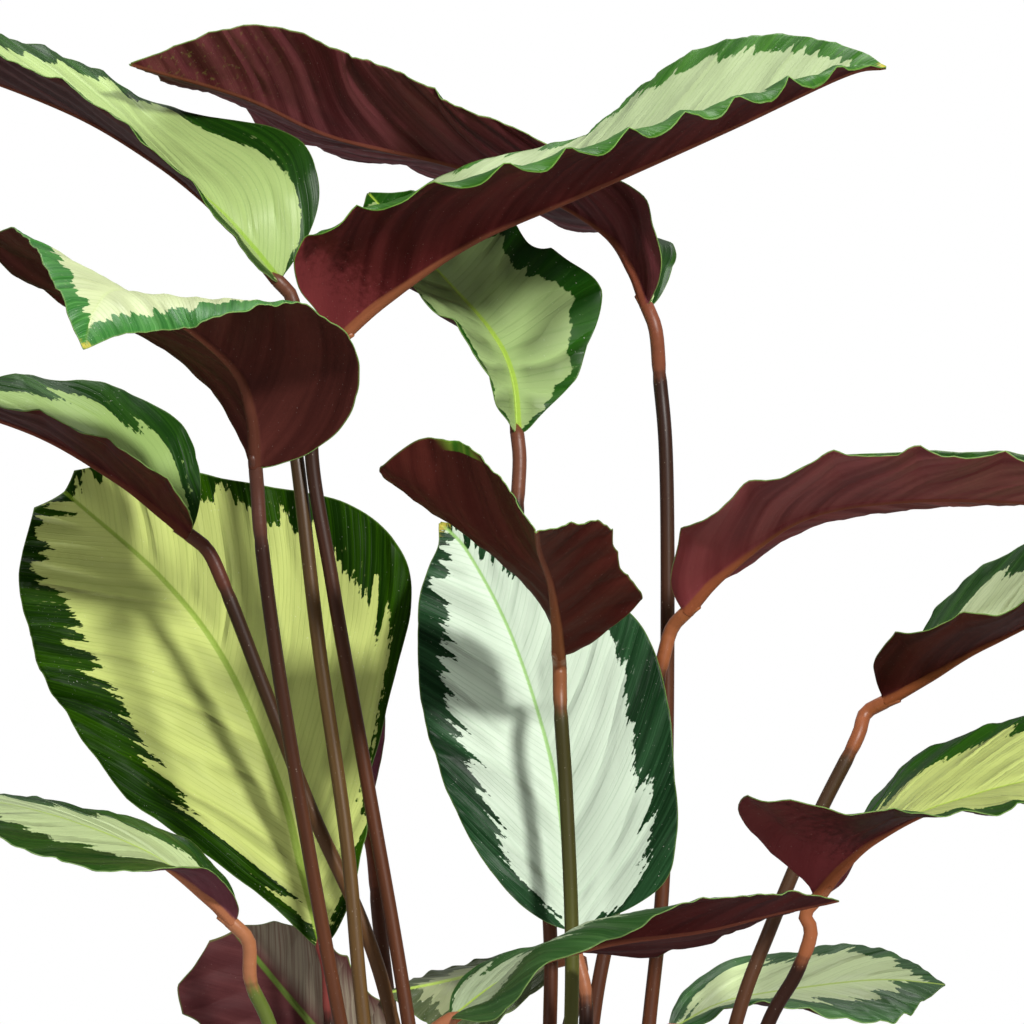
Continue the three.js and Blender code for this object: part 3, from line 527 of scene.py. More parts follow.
def bladePiece(name, leaf, look, materials):
    grid = bladeGrid(name, leaf, look)
    rows, columns = grid["rib"].shape
    count = rows * columns
    u = grid["u"][:, None]
    near = grid["rib"]
    thin = 0.5 + 0.5 * np.minimum(1, grid["edge"] / leafForm["thinEdge"])
    halfThick = leafForm["thickness"] / 2 * thin
    groove = (leafForm["grooveDepth"] * (1 - 0.6 * u)
              * np.exp(-(near / leafForm["grooveWidth"]) ** 2))
    radius = (leafForm["ridgeEnd"] + (leafForm["ridgeRadius"] - leafForm["ridgeEnd"])
              * (1 - u) ** leafForm["ridgeTaper"])
    ridge = np.sqrt(np.maximum(radius ** 2 - near ** 2, 0))
    upper = grid["points"] + grid["normal"] * (halfThick - groove)[..., None]
    lower = grid["points"] - grid["normal"] * (halfThick + ridge)[..., None]
    points = np.concatenate([upper.reshape(-1, 3), lower.reshape(-1, 3)])
    top = gridFaces(rows, columns)
    bottom = gridFaces(rows, columns, count, True)
    steps = np.arange(rows - 1) * columns
    ends = np.arange(columns - 1)
    last = (rows - 1) * columns
    rim = np.concatenate([
        np.stack([steps, steps + columns, steps + columns + count, steps + count], axis=1),
        np.stack([steps, steps + count, steps + columns + count, steps + columns], axis=1)
        + columns - 1,
        np.stack([ends, ends + count, ends + 1 + count, ends + 1], axis=1),
        np.stack([ends, ends + 1, ends + 1 + count, ends + count], axis=1) + last,
    ])
    faces = np.concatenate([top, bottom, rim])
    slots = np.concatenate([np.zeros(len(top)), np.ones(len(bottom)), np.full(len(rim), 2)])
    seed = np.full_like(near, leafForm["seedStep"] * int(name))
    place = np.stack([grid["along"], grid["across"], seed], axis=-1)
    reach = np.stack([grid["silver"], grid["edge"], grid["tip"]], axis=-1)
    facts = {
        "place": np.tile(place.reshape(-1, 3), (2, 1)),
        "reach": np.tile(reach.reshape(-1, 3), (2, 1)),
    }
    return meshPiece("leaf_blade_" + name, points, faces.tolist(), materials, slots, facts)


# Stalks

stalkForm = {
    "foot": 118.3,
    "footRise": 13.7,
    "sheathRadius": 4.2,
    "sheathShare": 0.45,  # share of the stalk that the sheath runs up
    "radius": 2.5,
    "jointRadius": 2.5,
    "jointLength": 40,
    "jointShare": 0.2,  # a short stalk's joint is this share of it
    "ringPlace": 24,  # the dark ring, measured down from the blade
    "ringDepth": 0.25,
    "ringWidth": 1.2,
    "sides": 18,
    "ringSpacing": 3.0,
    "approach": 8,
    "gap": 0.4,
    "intoBlade": 5,
    "belowRib": 2.1,
    "endRadius": 2.4,
    "endTaper": 1.5,
    "ringColor": (56, 32, 24),
    "speckColor": (205, 190, 170),
    "roughness": 0.38,
    "gloss": 0.4,
}


def throughPoints(points, spacing):
    points = [np.asarray(point, float) for point in points]
    held = [2 * points[0] - points[1], *points, 2 * points[-1] - points[-2]]
    run = []
    for before, start, end, after in zip(held, held[1:], held[2:], held[3:]):
        dt0, dt1, dt2 = [max(np.linalg.norm(b - a), 1e-6) ** 0.5
                         for a, b in ((before, start), (start, end), (end, after))]
        t1 = ((start - before) / dt0 - (end - before) / (dt0 + dt1) + (end - start) / dt1) * dt1
        t2 = ((end - start) / dt1 - (after - start) / (dt1 + dt2) + (after - end) / dt2) * dt1
        t = np.linspace(0, 1, 40, endpoint=False)[:, None]
        run.append(hermite(start, end, t1, t2, t))
    run = np.concatenate([*run, held[-2][None]])
    steps = np.concatenate([[0], np.cumsum(np.linalg.norm(np.diff(run, axis=0), axis=1))])
    places = np.linspace(0, steps[-1], max(8, int(steps[-1] / spacing)))
    return np.stack([np.interp(places, steps, run[:, axis]) for axis in range(3)], axis=1)


# The wall of a tube, ring after ring, and its two ends
def tubeFaces(rings, sides, start=0):
    faces = []
    for ring in range(rings - 1):
        for side in range(sides):
            a = start + ring * sides + side
            b = start + ring * sides + (side + 1) % sides
            faces.append([a, b, b + sides, a + sides])
    faces.append([start + side for side in range(sides)][::-1])
    faces.append([start + (rings - 1) * sides + side for side in range(sides)])
    return faces


def tube(line, radii, sides, start=0):
    along = unit(np.gradient(line, axis=0))
    sideways = np.cross(along[0], [0.3, 0.2, 1.0])
    if np.linalg.norm(sideways) < 0.1:
        sideways = np.cross(along[0], [1.0, 0.1, 0.0])
    angles = np.linspace(0, 2 * np.pi, sides, endpoint=False)
    points = []
    for center, forwards, radius in zip(line, along, radii):
        sideways = sideways - forwards * (sideways @ forwards)
        sideways = sideways / np.linalg.norm(sideways)
        other = np.cross(forwards, sideways)
        points.append(center + radius * (np.cos(angles)[:, None] * sideways
                                         + np.sin(angles)[:, None] * other))
    return np.concatenate(points), tubeFaces(len(line), sides, start), angles


def stalkPiece(name, leaf, materials):
    rib, tangent, _ = ribAt(leaf["rib"], np.array([0.0, 0.01, 0.02, 0.03]))
    x, y = leaf["foot"]
    end = rib[0] - tangent[0] * stalkForm["gap"]
    approach = end - tangent[0] * stalkForm["approach"]
    line = throughPoints([[x, y, stalkForm["foot"]],
                          [x, y, stalkForm["foot"] + stalkForm["footRise"]],
                          *leaf["stalk"], approach, end], stalkForm["ringSpacing"])
    fromFoot = np.concatenate([[0], np.cumsum(np.linalg.norm(np.diff(line, axis=0), axis=1))])
    length = fromFoot[-1]
    fromBlade = length - fromFoot
    sheath = ((stalkForm["sheathRadius"] - stalkForm["radius"])
              * np.maximum(0, 1 - fromFoot / (stalkForm["sheathShare"] * length)))
    joint = min(stalkForm["jointLength"], stalkForm["jointShare"] * length)
    swell = np.maximum(0, np.sin(np.pi * np.minimum(1, fromBlade / joint)))
    radii = (stalkForm["radius"] + sheath
             + (stalkForm["jointRadius"] - stalkForm["radius"]) * swell)
    fromRing = (fromBlade - stalkForm["ringPlace"]) / stalkForm["ringWidth"]
    radii = radii - stalkForm["ringDepth"] * np.exp(-fromRing ** 2)
    # the last rings run on below the foot of the midrib
    nearFoot = np.array([0.0, 0.03, 0.06])
    left, right = [halfSurface(leaf, nearFoot, side, np.array([[0.0, 0.5]] * 3))[0][1, 1]
                   for side in (0, 1)]
    below = unit(np.cross(tangent[2], right - left)[None])[0]
    steps = np.linspace(0.2, 1, 4)[:, None]
    extra = (rib[0] + tangent[0] * steps * stalkForm["intoBlade"]
             + below * stalkForm["belowRib"] * steps)
    line = np.concatenate([line, extra])
    radii = np.concatenate([radii, stalkForm["endRadius"] - stalkForm["endTaper"] * steps[:, 0]])
    fromBlade = np.concatenate([fromBlade, -steps[:, 0] * stalkForm["intoBlade"]])
    points, faces, angles = tube(line, radii, stalkForm["sides"])
    place = np.stack([
        np.repeat(fromBlade, stalkForm["sides"]),
        np.tile(np.cos(angles) * 3, len(line)),
        np.tile(np.sin(angles) * 3, len(line)),
    ], axis=1)
    return meshPiece("leaf_stalk_" + name, points, faces, materials, None, {"place": place})


# Pot, soil and rhizome

potForm = {
    "height": 165,
    "topRadius": 95,
    "footRadius": 70,
    "wall": 2.2,
    "floor": 3,
    "rimDrop": 14,
    "rimOverhang": 3.5,
    "rounding": 1.6,
    "holeRadius": 5,
    "holeCircle": 46,
    "holes": 8,
    "soilLevel": 148,
    "soilMound": 5,
    "sides": 128,
    "color": (44, 46, 50),
    "grain": (56, 58, 63),
}


def turned(profile, sides):
    angles = np.linspace(0, 2 * np.pi, sides, endpoint=False)
    profile = np.asarray(profile, float)
    points = np.stack([
        profile[:, None, 0] * np.cos(angles), profile[:, None, 0] * np.sin(angles),
        profile[:, None, 1] + 0 * angles,
    ], axis=-1).reshape(-1, 3)
    return points, tubeFaces(len(profile), sides)


def rounded(corners, radius, steps=5):
    corners = [np.asarray(corner, float) for corner in corners]
    path = [corners[0]]
    for before, corner, after in zip(corners, corners[1:], corners[2:]):
        back = before - corner
        onward = after - corner
        cut = min(radius, np.linalg.norm(back) * 0.45, np.linalg.norm(onward) * 0.45)
        start = corner + back / np.linalg.norm(back) * cut
        end = corner + onward / np.linalg.norm(onward) * cut
        for t in np.linspace(0, 1, steps):
            path.append((1 - t) ** 2 * start + 2 * t * (1 - t) * corner + t ** 2 * end)
    path.append(corners[-1])
    return path


def innerRadius(height):
    slope = (potForm["topRadius"] - potForm["footRadius"]) / potForm["height"]
    return potForm["footRadius"] + slope * height - potForm["wall"]


def cutFrom(piece, cutter):
    cut = piece.modifiers.new("cut", "BOOLEAN")
    cut.operation = "DIFFERENCE"
    cut.solver = "EXACT"
    cut.object = cutter
    shown = bpy.context.evaluated_depsgraph_get()
    mesh = bpy.data.meshes.new_from_object(piece.evaluated_get(shown))
    piece.modifiers.clear()
    piece.data = mesh
    bpy.data.objects.remove(cutter)


def potPiece(material):
    height = potForm["height"]
    rim = potForm["topRadius"]
    wall = rim - potForm["rimOverhang"]
    under = height - potForm["rimDrop"]
    outline = rounded([
        [0.5, 0], [potForm["footRadius"], 0], [wall, under], [rim, under + 1],
        [rim + 1, height - 2], [rim - 0.5, height], [innerRadius(height), height - 0.6],
        [innerRadius(potForm["floor"]), potForm["floor"]], [0.5, potForm["floor"]],
    ], potForm["rounding"])
    sides = potForm["sides"]
    points, faces = turned(outline, sides)
    faces = faces[:-2]
    last = len(outline) - 1
    faces += [[side, last * sides + side, last * sides + (side + 1) % sides, (side + 1) % sides]
              for side in range(sides)]
    piece = meshPiece("nursery_pot", points, faces, [material])
    drills = []
    drillFaces = []
    for hole in range(potForm["holes"]):
        angle = 2 * math.pi * (hole + 0.5) / potForm["holes"]
        drill, ends = turned([[potForm["holeRadius"], -10], [potForm["holeRadius"], 10]], 32)
        heading = np.array([math.cos(angle), math.sin(angle), 0])
        start = hole * len(drill)
        drills.append(drill + potForm["holeCircle"] * heading)
        drillFaces += [[start + index for index in face] for face in ends]
    cutFrom(piece, meshPiece("drills", np.concatenate(drills), drillFaces, []))
    piece.data.polygons.foreach_set("use_smooth", np.ones(len(piece.data.polygons), bool))
    piece.data.set_sharp_from_angle(angle=math.radians(40))
    return piece


soilForm = {
    "gap": 0.3,  # to the pot's wall and floor
    "settled": 0.6,
    "sides": 110,
    "rings": 44,
    "seed": 7,
    "crumb": dict(count=420, sizes=(0.8, 2.2), flat=0.7),
    "perlite": dict(count=70, sizes=(0.9, 1.9), flat=0.8),
    "color": (52, 38, 30),
    "dark": (24, 17, 13),
    "perliteColor": (225, 222, 212),
    "perliteDark": (196, 190, 176),
}


def pebble(rng, center, size, flat):
    t = (1 + 5 ** 0.5) / 2
    corners = unit(np.array([
        [-1, t, 0], [1, t, 0], [-1, -t, 0], [1, -t, 0], [0, -1, t], [0, 1, t], [0, -1, -t],
        [0, 1, -t], [t, 0, -1], [t, 0, 1], [-t, 0, -1], [-t, 0, 1],
    ]))
    faces = [
        [0, 11, 5], [0, 5, 1], [0, 1, 7], [0, 7, 10], [0, 10, 11], [1, 5, 9], [5, 11, 4],
        [11, 10, 2], [10, 7, 6], [7, 1, 8], [3, 9, 4], [3, 4, 2], [3, 2, 6], [3, 6, 8],
        [3, 8, 9], [4, 9, 5], [2, 4, 11], [6, 2, 10], [8, 6, 7], [9, 8, 1],
    ]
    uneven = corners * rng.uniform(0.65, 1.15, (12, 1)) * size
    uneven[:, 2] *= flat
    turn = rng.uniform(0, 6.28)
    spun = np.stack([
        uneven[:, 0] * math.cos(turn) - uneven[:, 1] * math.sin(turn),
        uneven[:, 0] * math.sin(turn) + uneven[:, 1] * math.cos(turn), uneven[:, 2],
    ], axis=1)
    return spun + center, faces


def soilHeight(radius):
    edge = innerRadius(potForm["soilLevel"]) - soilForm["gap"]
    return potForm["soilLevel"] + potForm["soilMound"] * (1 - (radius / edge) ** 2)


def soilPiece(soil, perlite):
    rng = np.random.default_rng(soilForm["seed"])
    gap = soilForm["gap"]
    edge = innerRadius(potForm["soilLevel"]) - gap
    low = potForm["floor"] + gap
    profile = [[0.4, low], [innerRadius(low) - gap, low]]
    profile += [[edge * share, soilHeight(edge * share)]
                for share in np.linspace(1, 0.01, soilForm["rings"])]
    sides = soilForm["sides"]
    points, faces = turned(profile, sides)
    top = slice(3 * sides, None)
    radius = np.hypot(points[top, 0], points[top, 1])
    rough = (0.5 * np.sin(points[top, 0] / 3.1 + 2 * np.sin(points[top, 1] / 4.7))
             + 0.5 * np.sin(points[top, 1] / 2.6 + 2 * np.sin(points[top, 0] / 5.3))
             + rng.uniform(-0.5, 0.5, len(radius)) * np.minimum(1, radius / 12))
    points[top, 2] += rough - soilForm["settled"]
    slots = [0] * len(faces)
    pieces = [points]
    total = len(points)
    for slot, kind in enumerate(("crumb", "perlite")):
        bits = soilForm[kind]
        for _ in range(bits["count"]):
            angle = rng.uniform(0, 2 * math.pi)
            distance = (edge - 2.5) * rng.uniform(0, 1) ** 0.5
            center = [distance * math.cos(angle), distance * math.sin(angle),
                      soilHeight(distance) - 0.5]
            bit, bitFaces = pebble(rng, center, rng.uniform(*bits["sizes"]), bits["flat"])
            pieces.append(bit)
            faces += [[total + index for index in face] for face in bitFaces]
            slots += [slot] * len(bitFaces)
            total += len(bit)
    return meshPiece("potting_soil", np.concatenate(pieces), faces, [soil, perlite], slots)


rhizomeForm = {
    "top": 118,
    "radius": 52,
    "depth": 24,
    "sides": 72,
    "roots": [[0.4, 62], [2.1, 54], [3.6, 66], [5.2, 58]],  # heading and length of each
    "rootCircle": 26,
    "rootSlant": 0.35,
    "rootRadius": 4,
    "seed": 11,
    "color": (142, 108, 72),
    "dark": (98, 70, 46),
}


def rhizomePiece(material):
    rng = np.random.default_rng(rhizomeForm["seed"])
    top = rhizomeForm["top"]
    radius = rhizomeForm["radius"]
    low = top - rhizomeForm["depth"]
    outline = rounded([
        [0.5, low], [radius * 0.7, low], [radius, (low + top) / 2], [radius - 4, top], [0.5, top],
    ], 5)
    points, faces = turned(outline, rhizomeForm["sides"])
    spread = 1 + 0.02 * np.sin(7 * np.arctan2(points[:, 1], points[:, 0]))
    points[:, :2] *= spread[:, None] * 0.985
    pieces = [points]
    total = len(points)
    slant = rhizomeForm["rootSlant"]
    for angle, length in rhizomeForm["roots"]:
        outward = np.array([math.cos(angle), math.sin(angle), 0])
        start = outward * rhizomeForm["rootCircle"] + [0, 0, low + 6]
        heading = outward * math.sin(slant) + [0, 0, math.cos(slant)]
        steps = np.linspace(0, 1, 16)[:, None]
        line = start - heading * steps * length
        radii = rhizomeForm["rootRadius"] - 2 * steps[:, 0] + rng.uniform(-0.15, 0.0, 16)
        rootPoints, rootFaces, _ = tube(line, radii, 12, total)
        pieces.append(rootPoints)
        faces += rootFaces
        total += len(rootPoints)
    return meshPiece("rhizome_crown", np.concatenate(pieces), faces, [material])


# Materials

def operator(operation, reflected=False):
    return lambda self, other: self.combined(other, operation, reflected)


# A value in a material, so that sums are written as sums
class Wire:
    def __init__(self, tree, socket):
        self.tree = tree
        self.socket = socket

    def node(self, kind, settings, values, output=0):
        made = self.tree.nodes.new(kind)
        for key, value in settings.items():
            setattr(made, key, value)
        for key, value in values.items():
            socket = made.inputs[key]
            if isinstance(value, Wire):
                self.tree.links.new(value.socket, socket)
            else:
                socket.default_value = value
        return Wire(self.tree, made.outputs[output])

    def kind(self):
        return {"VECTOR": "vector", "RGBA": "color"}.get(self.socket.type, "number")

    def combined(self, other, operation, reflected=False):
        kinds = [wire.kind() for wire in (self, other) if isinstance(wire, Wire)]
        first, second = (other, self) if reflected else (self, other)
        if "color" in kinds:
            first, second = [(item,) * 3 + (1,) if isinstance(item, (int, float)) else item
                             for item in (first, second)]
            return self.node("ShaderNodeMix", {"data_type": "RGBA", "blend_type": operation},
                             {0: 1.0, 6: first, 7: second}, 2)
        if "vector" in kinds:
            first, second = [(item,) * 3 if isinstance(item, (int, float)) else item
                             for item in (first, second)]
            return self.node("ShaderNodeVectorMath", {"operation": operation},
                             {0: first, 1: second})
        return self.node("ShaderNodeMath", {"operation": operation}, {0: first, 1: second})

    __add__ = operator("ADD")
    __radd__ = operator("ADD", True)
    __sub__ = operator("SUBTRACT")
    __rsub__ = operator("SUBTRACT", True)
    __mul__ = operator("MULTIPLY")
    __rmul__ = operator("MULTIPLY", True)
    __truediv__ = operator("DIVIDE")
    __rtruediv__ = operator("DIVIDE", True)

    def within(self, low, high):
        return self.node("ShaderNodeMapRange", {"interpolation_type": "SMOOTHSTEP"},
                         {0: self, 1: low, 2: high, 3: 0.0, 4: 1.0})

    def least(self, other):
        return self.node("ShaderNodeMath", {"operation": "MINIMUM"}, {0: self, 1: other})

    def cycle(self):
        return self.node("ShaderNodeMath", {"operation": "FRACT"}, {0: self})

    def size(self):
        return self.node("ShaderNodeMath", {"operation": "ABSOLUTE"}, {0: self})

    def parts(self):
        return [self.node("ShaderNodeSeparateXYZ", {}, {0: self}, axis) for axis in range(3)]

    def toward(self, other, share):
        first, second = [item if isinstance(item, Wire) else (*item[:3], 1)
                         for item in (self, other)]
        return self.node("ShaderNodeMix", {"data_type": "RGBA", "blend_type": "MIX"},
                         {0: share, 6: first, 7: second}, 2)


def tone(color):
    levels = [level / 255 for level in color]
    return (*[level / 12.92 if level < 0.04045 else ((level + 0.055) / 1.055) ** 2.4
              for level in levels], 1)


def newMaterial(name):
    material = bpy.data.materials.new(name)
    material.use_nodes = True
    tree = material.node_tree
    tree.nodes.clear()
    result = tree.nodes.new("ShaderNodeOutputMaterial")
    surface = tree.nodes.new("ShaderNodeBsdfPrincipled")
    tree.links.new(surface.outputs[0], result.inputs[0])
    return material, Wire(tree, surface.outputs[0]), surface


# The heights are in millimetres
def finishSurface(start, surface, color, roughness, height=None, gloss=None):
    tree = start.tree
    for key, value in (("Base Color", color), ("Roughness", roughness)):
        if isinstance(value, Wire):
            tree.links.new(value.socket, surface.inputs[key])
        else:
            surface.inputs[key].default_value = value
    if gloss is not None:
        surface.inputs["Specular IOR Level"].default_value = gloss
    if height is not None:
        bump = start.node("ShaderNodeBump", {},
                          {"Strength": 1.0, "Distance": toMetres, "Height": height})
        tree.links.new(bump.socket, surface.inputs["Normal"])


def fact(start, name):
    return start.node("ShaderNodeAttribute", {"attribute_name": name}, {}, 1)


def point(start, x, y, z):
    return start.node("ShaderNodeCombineXYZ", {}, {0: x, 1: y, 2: z})


def noise(start, place, scale=1.0, detail=2.0, roughness=0.5):
    return start.node("ShaderNodeTexNoise", {"noise_dimensions": "3D"},
                      {"Vector": place, "Scale": scale, "Detail": detail,
                       "Roughness": roughness})


def paint(start, color):
    made = start.node("ShaderNodeRGB", {}, {})
    made.socket.default_value = tone(color)
    return made


# The streaks of a blade's veins, which lean forward on their way out from the midrib
def veins(start, swept, rib, seed, spacing, stretch=0.02, detail=3.0):
    return noise(start, point(start, swept / spacing, rib * stretch, seed), 1, detail, 0.6)


# Folds along the veins, like shingles: a long rise and a short fall. The ramp drives the bump and also
# the painted shade of the folds, and the second value is the line of each fold, which is painted as
# shade.
def creases(start, swept, rib, seed, look):
    wander = noise(start, point(start, swept * 0.04, rib * 0.02, seed + 3), 1, 1)
    ramp = (swept / look["crease"] + wander * 2.2).cycle()
    fade = rib.within(0.5, 7) * noise(start, point(start, swept * 0.05, rib * 0.05, seed + 8),
                                      1, 1).within(0.25, 0.6)
    shingle = (ramp * 1.4).least((1 - ramp) * 3.5) * fade
    return shingle, (ramp - 0.5).size().within(0.42, 0.5) * fade


# The place on a blade that both of its faces are painted from, in millimetres
def bladePlace(start, look):
    along, across, seed = fact(start, "place").parts()
    rib = across.size()
    seed = seed + across.within(-0.01, 0.01) * 50
    return along, across, rib, along - rib * look["lean"], seed


upperForm = {
    "fineSpacing": 0.7,
    "streakSpacing": 1.8,
    "teethSpacing": 7.5,
    "broadSpacing": 9.0,
    "threadSpacing": 2.9,
    "speckColor": (235, 238, 225),
    "yellow": (196, 178, 70),
    "roughness": 0.36,
}


# Upper face: silver middle that breaks up along the veins into the green margin
def upperFace(name, look):
    material, start, surface = newMaterial("upper_face_" + name)
    along, across, rib, swept, seed = bladePlace(start, look)
    silver, edge, tip = fact(start, "reach").parts()
    fine = veins(start, swept, rib, seed, upperForm["fineSpacing"], 0.035)
    streak = veins(start, swept, rib, seed + 9, upperForm["streakSpacing"])
    teeth = veins(start, swept, rib, seed + 2, upperForm["teethSpacing"], 0.012, 1.0)
    broad = veins(start, swept, rib, seed + 4, upperForm["broadSpacing"], 0.012, 2.0)
    crumb = noise(start, point(start, along * 0.7, rib * 0.4, seed + 6), 1, 2)
    shingle, crease = creases(start, swept, rib, seed, look)
    feather = ((teeth.within(0.4, 0.6) - 0.5) * 1.2 + (streak - 0.5) * 1.5
               + (crumb - 0.5) * 1.2) * look["feather"]
    inSilver = (silver + feather).within(-0.35, 0.35)
    pale = paint(start, look["silver"])
    thread = (swept / upperForm["threadSpacing"] + broad * 3).cycle()
    thread = 1 - (thread - 0.5).size().within(0.04, 0.16)
    # besides the veins, each fold's line (crease) is painted darker here, as painted shade at the
    # crease
    lines = (thread * streak.within(0.3, 0.6) * 0.45 + streak.within(0.56, 0.76) * 0.2
             + crease * 0.14)
    middle = pale.toward(tone(look["veins"]), lines * look["veinShare"])
    middle = middle * (0.88 + broad * 0.24)
    margin = paint(start, look["green"]).toward(
        tone(look["greenLight"]), streak.within(0.44, 0.74) * 0.4 + broad.within(0.4, 0.7) * 0.4)
    stray = (crumb * 0.5 + fine * 0.5).within(0.61, 0.66) * silver.within(-8, -1)
    margin = margin.toward(pale, stray * 0.4) * (0.85 + thread * 0.12)
    # painted shade: the blade is painted darker over each fold's ramp, in place of the light and shade
    # of its relief
    color = margin.toward(middle, inSilver) * (1.05 - shingle * look["paintedFoldShade"])
    ribHalf = 0.3 + (1 - along.within(0, look["ribFade"])) * look["ribBase"]
    ribLine = 1 - (rib - ribHalf + (fine - 0.5) * 0.6).within(0.0, 0.6)
    color = color.toward(tone(look["rib"]), ribLine * look["ribShare"])
    specks = (noise(start, point(start, along, across, seed), 1.7, 1).within(0.735, 0.77)
              * noise(start, point(start, along, across, seed), 0.09, 1).within(0.45, 0.65))
    color = color.toward(tone(upperForm["speckColor"]), specks * look["specks"])
    if look["yellowTip"] > 0:
        yellow = 1 - (tip + (streak - 0.5) * 8).within(look["yellowTip"] * 0.3,
                                                       look["yellowTip"])
        color = color.toward(tone(upperForm["yellow"]), yellow * 0.8)
    edgeLine = 1 - edge.within(0.1, 0.5)
    color = color.toward(tone(look["edgeColor"]), edgeLine * 0.45)
    height = shingle * look["creaseDepth"] + thread * -0.05 + streak * 0.12
    finishSurface(start, surface, color, upperForm["roughness"] + fine * 0.12, height,
                  look["gloss"])
    return material


underForm = {
    "fineSpacing": 1.1,
    "bandSpacing": 11.0,
    "pink": (128, 54, 58),
    "mottle": (120, 118, 60),
    "pale": (158, 152, 130),
    "speckColor": (200, 180, 170),
    "roughness": 0.48,
    "gloss": 0.05,
}


# Underside: deep maroon and satin, with the bands of the folds and faint veins
def underFace(name, look):
    material, start, surface = newMaterial("underside_" + name)
    along, across, rib, swept, seed = bladePlace(start, look)
    edge, tip = fact(start, "reach").parts()[1:]
    fine = veins(start, swept, rib, seed, underForm["fineSpacing"], 0.03)
    bands = veins(start, swept, rib, seed + 5, underForm["bandSpacing"], 0.01, 2.0)
    mottle = noise(start, point(start, along * 0.5, rib * 0.3, seed + 11), 1, 4, 0.7)
    shingle, crease = creases(start, swept, rib, seed, look)
    color = paint(start, look["under"]).toward(
        tone(look["underLight"]), bands.within(0.36, 0.66) * 0.6 + fine.within(0.46, 0.74) * 0.14)
    # painted shade: darker over each fold's ramp and along each fold's line
    color = color * (0.94 + mottle * 0.2 - crease * 0.06 - shingle * look["paintedFoldShade"])
    if look["underPink"] > 0:
        pink = 1 - (along + (mottle - 0.5) * 40).within(look["underPink"] * 0.3,
                                                        look["underPink"])
        color = color.toward(tone(underForm["pink"]), pink * 0.5)
    if look["underMottle"] > 0:
        patch = mottle.within(0.55, 0.7) * (1 - tip.within(10, look["underMottle"]))
        color = color.toward(tone(underForm["mottle"]), patch * 0.5)
    if look["underPale"]:
        far = across * look["underPale"]
        pale = far.within(0, 8) * (1 - far.within(16, 26)) * fine.within(0.1, 0.7)
        color = color.toward(tone(underForm["pale"]), pale * 0.75)
    ribLine = 1 - (rib - 0.5 - (1 - along.within(0, 60)) * 1.2).within(0.1, 0.9)
    ribColor = paint(start, look["pulvinus"]).toward(tone(look["underRib"]),
                                                     along.within(6, 80))
    color = color.toward(ribColor, ribLine * 0.8)
    specks = noise(start, point(start, along, across, seed), 1.6, 1).within(0.75, 0.78)
    color = color.toward(tone(underForm["speckColor"]), specks * 0.2)
    edgeLine = 1 - edge.within(0.1, 0.6)
    color = color.toward(tone(look["edgeColor"]), edgeLine * 0.35)
    if look["rolled"]:
        first, last, reach, spacing, least = look["rolled"]
        bay = ((along / spacing).cycle() - 0.5).size() * 2
        flap = (reach * (1 - bay * bay) + least - edge).within(0, 0.5)
        flap = flap * along.within(first, first + 6) * (1 - along.within(last, last + 6))
        flap = flap * (across * look["rolledSide"]).within(0, 0.1)
        rim = paint(start, look["greenLight"]).toward(tone(look["rolledColor"]),
                                                      bands.within(0.4, 0.6))
        color = color.toward(rim, flap)
    height = shingle * (-0.4 * look["creaseDepth"]) + fine * 0.1
    finishSurface(start, surface, color, underForm["roughness"] + fine * 0.1, height,
                  underForm["gloss"])
    return material


def edgeFace(name, look):
    material, start, surface = newMaterial("leaf_edge_" + name)
    along, across, seed = fact(start, "place").parts()
    streak = noise(start, point(start, along * 0.3, seed, 0), 1, 2)
    color = paint(start, look["edgeColor"]).toward(tone(look["greenLight"]),
                                                   streak.within(0.4, 0.65) * 0.6)
    finishSurface(start, surface, color, 0.5)
    return material


# Stalk: dark polished skin, a paler joint below the blade, and a dark ring between them
def stalkSkin(name, look):
    material, start, surface = newMaterial("stalk_skin_" + name)
    fromBlade, x, y = fact(start, "place").parts()
    seed = float(int(name) * 13)
    streak = noise(start, point(start, x * 0.45, y * 0.45, fromBlade * 0.02 + seed), 1, 2)
    rings = noise(start, point(start, fromBlade * 0.35, seed, x * 0.05), 1, 3, 0.6)
    blotch = noise(start, point(start, x * 0.2, y * 0.2, fromBlade * 0.03 + seed + 5), 1, 2)
    lower = fromBlade.within(30, 170)
    skin = paint(start, look["stalk"]).toward(
        tone(look["stalkLight"]),
        (lower * 0.7 + 0.15) * (0.5 + streak.within(0.35, 0.7) * 0.3 + blotch * 0.5))
    joint = paint(start, look["pulvinus"]) * (0.84 + rings * 0.32)
    ringPlace = stalkForm["ringPlace"]
    inJoint = 1 - (fromBlade + (streak - 0.5) * 8).within(ringPlace - 4, ringPlace + 4)
    color = skin.toward(joint, inJoint)
    ring = 1 - (fromBlade - ringPlace).size().within(0.2, 1.3)
    color = color.toward(tone(stalkForm["ringColor"]), ring * 0.3)
    specks = noise(start, point(start, x * 1.2, y * 1.2, fromBlade * 1.2), 1, 1).within(0.75, 0.78)
    color = color.toward(tone(stalkForm["speckColor"]), specks * 0.3)
    height = streak * 0.08 + rings * inJoint * 0.15
    finishSurface(start, surface, color, stalkForm["roughness"] + streak * 0.1, height,
                  stalkForm["gloss"])
    return material


def plainMaterial(name, color, other, scale, roughness, bump=0.0):
    material, start, surface = newMaterial(name)
    place = start.node("ShaderNodeTexCoord", {}, {}, 3)
    grain = noise(start, place, scale, 4, 0.6)
    wide = noise(start, place, scale * 0.13, 2)
    shade = paint(start, color).toward(tone(other), grain.within(0.35, 0.7) * 0.6
                                       + wide.within(0.4, 0.7) * 0.3)
    finishSurface(start, surface, shade, roughness + grain * 0.1, grain * bump)
    return material


